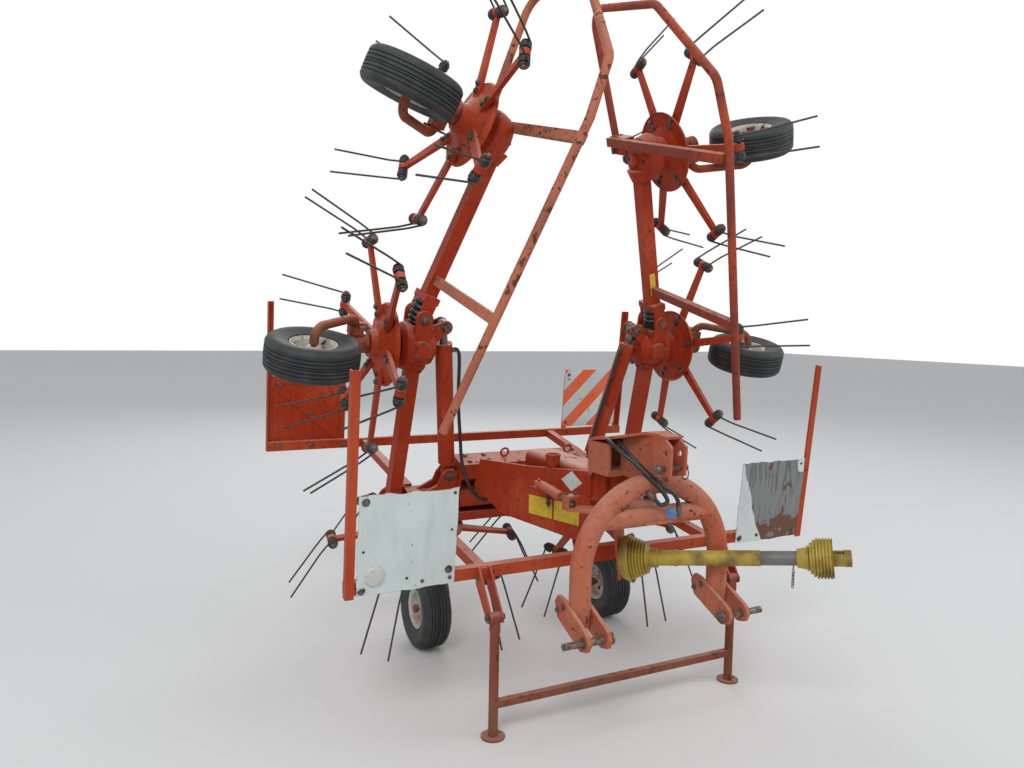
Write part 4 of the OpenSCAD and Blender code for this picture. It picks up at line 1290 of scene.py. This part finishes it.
class TEDDER_OT_fittings(bpy.types.Operator):
    """Adds the locking gear's cup and springs, the pins of the hitch and the rails' bolts"""

    bl_idname = "tedder.fittings"
    bl_label = "Fittings"

    def execute(self, context):
        self.nose()
        self.hitch()
        self.stand()
        return {"FINISHED"}

    @staticmethod
    def nose():
        """The cup on the cover's left, the dampers' spring bolts and the box's eye bolts."""
        shape = Shape()
        shape.lathe([(AXIS, 0), (0.016, 0), (0.026, 0.008), (0.033, 0.024), (0.035, 0.060),
                     (0.038, 0.062), (0.038, 0.070), (0.035, 0.072), (0.031, 0.070),
                     (0.030, 0.058), (AXIS, 0.054)], at(-0.128, -0.160, 1.012), 32, 0)
        shape.tube([(-0.128, -0.160, 1.014), (-0.128, -0.160, 0.975)], 0.009, sides=12, finish=1)
        shape.slab([(-0.148, -0.178), (-0.088, -0.178), (-0.088, -0.142), (-0.148, -0.142)],
                   0.966, 0.976, finish=0)
        for side in (1, -1):
            spot = at(0.170 * side, -0.200, 0)
            shape.bolt(spot @ at(0, 0, 0.937), 0.011, 0.010, 1)
            shape.tube([spot @ Vector((0, 0, 0.930)), spot @ Vector((0, 0, 0.835))], 0.005,
                       sides=10, finish=1)
            coil = []
            for step in range(97):
                angle = 2 * math.pi * step / 12
                coil.append(spot @ Vector((0.0115 * math.cos(angle), 0.0115 * math.sin(angle),
                                           0.924 - 0.0085 * step / 12)))
            shape.tube(coil, 0.0019, sides=6, finish=1)
            shape.bolt(spot @ at(0, 0, 0.856) @ turn(180, "X"), 0.010, 0.012, 1)
        # Eye bolts and nuts along the top of the frame's box
        box = wing_place(1, 0)
        for x in (-0.330, -0.220, 0.220, 0.330):
            shape.bolt(box @ at(x, -0.035, 0.215), 0.011, 0.010, 1)
            shape.bolt(box @ at(x, 0.035, 0.215), 0.011, 0.010, 1)
        for x in (-0.115, 0.28):
            eye = ring((x, 0, 0.242), (0.022, 0, 0), (0, 0, 0.022), 16, start=1.5)
            shape.tube([box @ point for point in eye], 0.006, sides=10)
        shape.piece("locking_gear", "frame", ["sunned_paint", "bolt_steel"])

    @staticmethod
    def hitch():
        """The top link's pin with its ring, and collars and lynch pins on the lower link pins."""
        shape = Shape()
        pin = at(0, -0.899, 1.133) @ turn(90, "Y")
        shape.lathe([(AXIS, -0.078), (0.0124, -0.078), (0.0124, 0.070), (AXIS, 0.076)],
                    pin, 24)
        shape.disc(0.020, -0.088, -0.078, pin, 24)
        shape.tube([(-0.083, -0.899, 1.133), (-0.083, -0.912, 1.112), (-0.083, -0.934, 1.098)],
                   0.005, sides=8)
        shape.tube(ring((0.062, -0.903, 1.105), (0, 0.018, 0), (0.004, 0, 0.022), 24), 0.0026,
                   sides=6)
        shape.tube([(0.062, -0.899, 1.112), (0.062, -0.899, 1.158)], 0.004, sides=8)
        for side in (1, -1):
            link = mirror(side) @ at(0.4085, -0.906, 0.479) @ turn(90, "Y")
            shape.lathe([(0.0162, 0), (0.023, 0), (0.023, 0.004), (0.0162, 0.004)], link, 28)
            inner = mirror(side) @ at(0.2955, -0.906, 0.479) @ turn(-90, "Y")
            shape.disc(0.024, 0.012, 0.020, inner, 28)
            shape.tube([inner @ Vector((0, 0.016, 0.018)), inner @ Vector((0, 0.030, 0.018)),
                        inner @ Vector((0.012, 0.040, 0.018))], 0.005, sides=8)
            for y, z in ((-0.708, 0.545), (-0.752, 0.570)):
                shape.bolt(mirror(side) @ at(0.4085, y, z) @ turn(90, "Y"), 0.010, 0.009)
                shape.bolt(mirror(side) @ at(0.2955, y, z) @ turn(-90, "Y"), 0.010, 0.009)
        for x, y in ((-0.190, -0.470), (0.190, -0.470), (-0.225, -0.450), (0.225, -0.450)):
            shape.bolt(at(x, y, 0.952), 0.009, 0.008)
        shape.piece("hitch_pins", "headstock", ["rusty_steel"])

    @staticmethod
    def stand():
        """Heads and nuts of the stand's pivot bolts, and of the bolts through the front rail."""
        shape = Shape()
        for side in (1, -1):
            for end in (1, -1):
                face = at(side * 0.630 + end * 0.029, -0.585, 0.505) @ turn(90 * end, "Y")
                shape.bolt(face, 0.015, 0.013)
                shape.bolt(at(side * 0.630 + end * 0.029, -0.474, 0.640) @ turn(90 * end, "Y"),
                           0.010, 0.009)
            for x in (0.780, 0.900):
                shape.bolt(at(side * x, -0.455, 0.655) @ turn(90, "X"), 0.009, 0.008)
            for x in (0.775, 1.150):
                shape.bolt(at(side * x, 1.213, 0.967) @ turn(90, "X"), 0.009, 0.008)
        shape.piece("rail_bolts", "frame", ["bolt_steel"])


# Radius of the round sticker's bend on the cross tube, and its turn from the top to the front
STICKER_BEND = 0.0414
STICKER_TURN = 73


class TEDDER_OT_labels(bpy.types.Operator):
    """Lays the blank stickers and the blank diamond plate on their surfaces"""

    bl_idname = "tedder.labels"
    bl_label = "Blank labels"

    def execute(self, context):
        shape = Shape()
        # Left nose plate's outer face: X from its back end, Z up
        along = Vector((0.268, -0.935, 0)).normalized()
        outward = along.cross(Vector((0, 0, 1)))
        plate = placed(along, -outward, (0, 0, 1), (-0.330, 0.450, 0))
        for start, end in ((0.512, 0.668), (0.682, 0.842)):
            self.label(shape, plate, self.oblong(start, end, 0.776, 0.868), 0)
        self.label(shape, plate, [(0.790, 0.930), (0.855, 0.977), (0.790, 1.024),
                                  (0.725, 0.977)], 1)
        shape.piece("frame_labels", "frame", ["yellow_sticker", "white_plate"])
        band = Shape()
        tube = at(0.060, -0.785, 0.915) @ turn(90, "Y")
        rows, columns = 8, 10
        points = []
        for row in range(rows + 1):
            for column in range(columns + 1):
                u, v = 2 * row / rows - 1, 2 * column / columns - 1
                # A square net laid on a disc
                x, y = u * math.sqrt(1 - v * v / 2), v * math.sqrt(1 - u * u / 2)
                angle = math.radians(STICKER_TURN + 36 * y)
                points.append((-STICKER_BEND * math.cos(angle),
                               -STICKER_BEND * math.sin(angle), 0.027 * x))
        faces = []
        for row in range(rows):
            for column in range(columns):
                low = row * (columns + 1) + column
                faces.append([low, low + 1, low + columns + 2, low + columns + 1])
        band.add(points, faces, tube, 0)
        band.piece("round_sticker", "headstock", ["blue_sticker"])
        strip = Shape()
        self.label(strip, wing_place(1, 2) @ at(0, -0.033, 0), self.oblong(
            0.165, 0.285, -0.012, 0.022), 0)
        strip.piece("beam_sticker", "outer_wing_r", ["yellow_sticker"])
        return {"FINISHED"}

    @staticmethod
    def oblong(start, end, low, high):
        """An upright outline."""
        return [(start, low), (end, low), (end, high), (start, high)]

    @staticmethod
    def label(shape, place, outline, finish):
        """A thin plate on the XZ plane of a place, its face at -Y."""
        points = [(x, -0.0009, z) for x, z in outline] + [(x, 0, z) for x, z in outline]
        count = len(outline)
        faces = [list(range(count)), list(range(count, 2 * count))[::-1]]
        for index in range(count):
            other = (index + 1) % count
            faces.append([other, index, count + index, count + other])
        shape.add(points, faces, place, finish)


STEPS = [
    TEDDER_OT_camera, TEDDER_OT_stage, TEDDER_OT_finishes, TEDDER_OT_wheels,
    TEDDER_OT_tines, TEDDER_OT_rotors, TEDDER_OT_boards, TEDDER_OT_driveline,
    TEDDER_OT_hoses, TEDDER_OT_joints, TEDDER_OT_castings, TEDDER_OT_fittings,
    TEDDER_OT_labels,
]


class TEDDER_PT_panel(bpy.types.Panel):
    """Sidebar panel with the steps, sizes and colours"""

    bl_idname = "TEDDER_PT_panel"
    bl_label = "Hay tedder"
    bl_space_type = "VIEW_3D"
    bl_region_type = "UI"
    bl_category = "Tedder"

    def draw(self, context):
        layout = self.layout
        for step in STEPS:
            layout.operator(step.bl_idname)
        for group in (context.scene.tedder_sizes, context.scene.tedder_colours):
            for name in group.__annotations__:
                layout.prop(group, name)


CLASSES = [TedderSizes, TedderColours, *STEPS, TEDDER_PT_panel]


def register():
    """Registers the classes and the scene's properties."""
    for item in CLASSES:
        bpy.utils.register_class(item)
    bpy.types.Scene.tedder_sizes = bpy.props.PointerProperty(type=TedderSizes)
    bpy.types.Scene.tedder_colours = bpy.props.PointerProperty(type=TedderColours)


def unregister():
    """Takes back what register made."""
    del bpy.types.Scene.tedder_colours
    del bpy.types.Scene.tedder_sizes
    for item in reversed(CLASSES):
        bpy.utils.unregister_class(item)


def main():
    register()
    bpy.ops.tedder.camera()
    bpy.ops.tedder.stage()
    bpy.ops.tedder.finishes()
    bpy.ops.tedder.wheels()
    bpy.ops.tedder.tines()
    bpy.ops.tedder.rotors()
    bpy.ops.tedder.boards()
    bpy.ops.tedder.driveline()
    bpy.ops.tedder.hoses()
    bpy.ops.tedder.joints()
    bpy.ops.tedder.castings()
    bpy.ops.tedder.fittings()
    bpy.ops.tedder.labels()


if __name__ == "__main__":
    main()
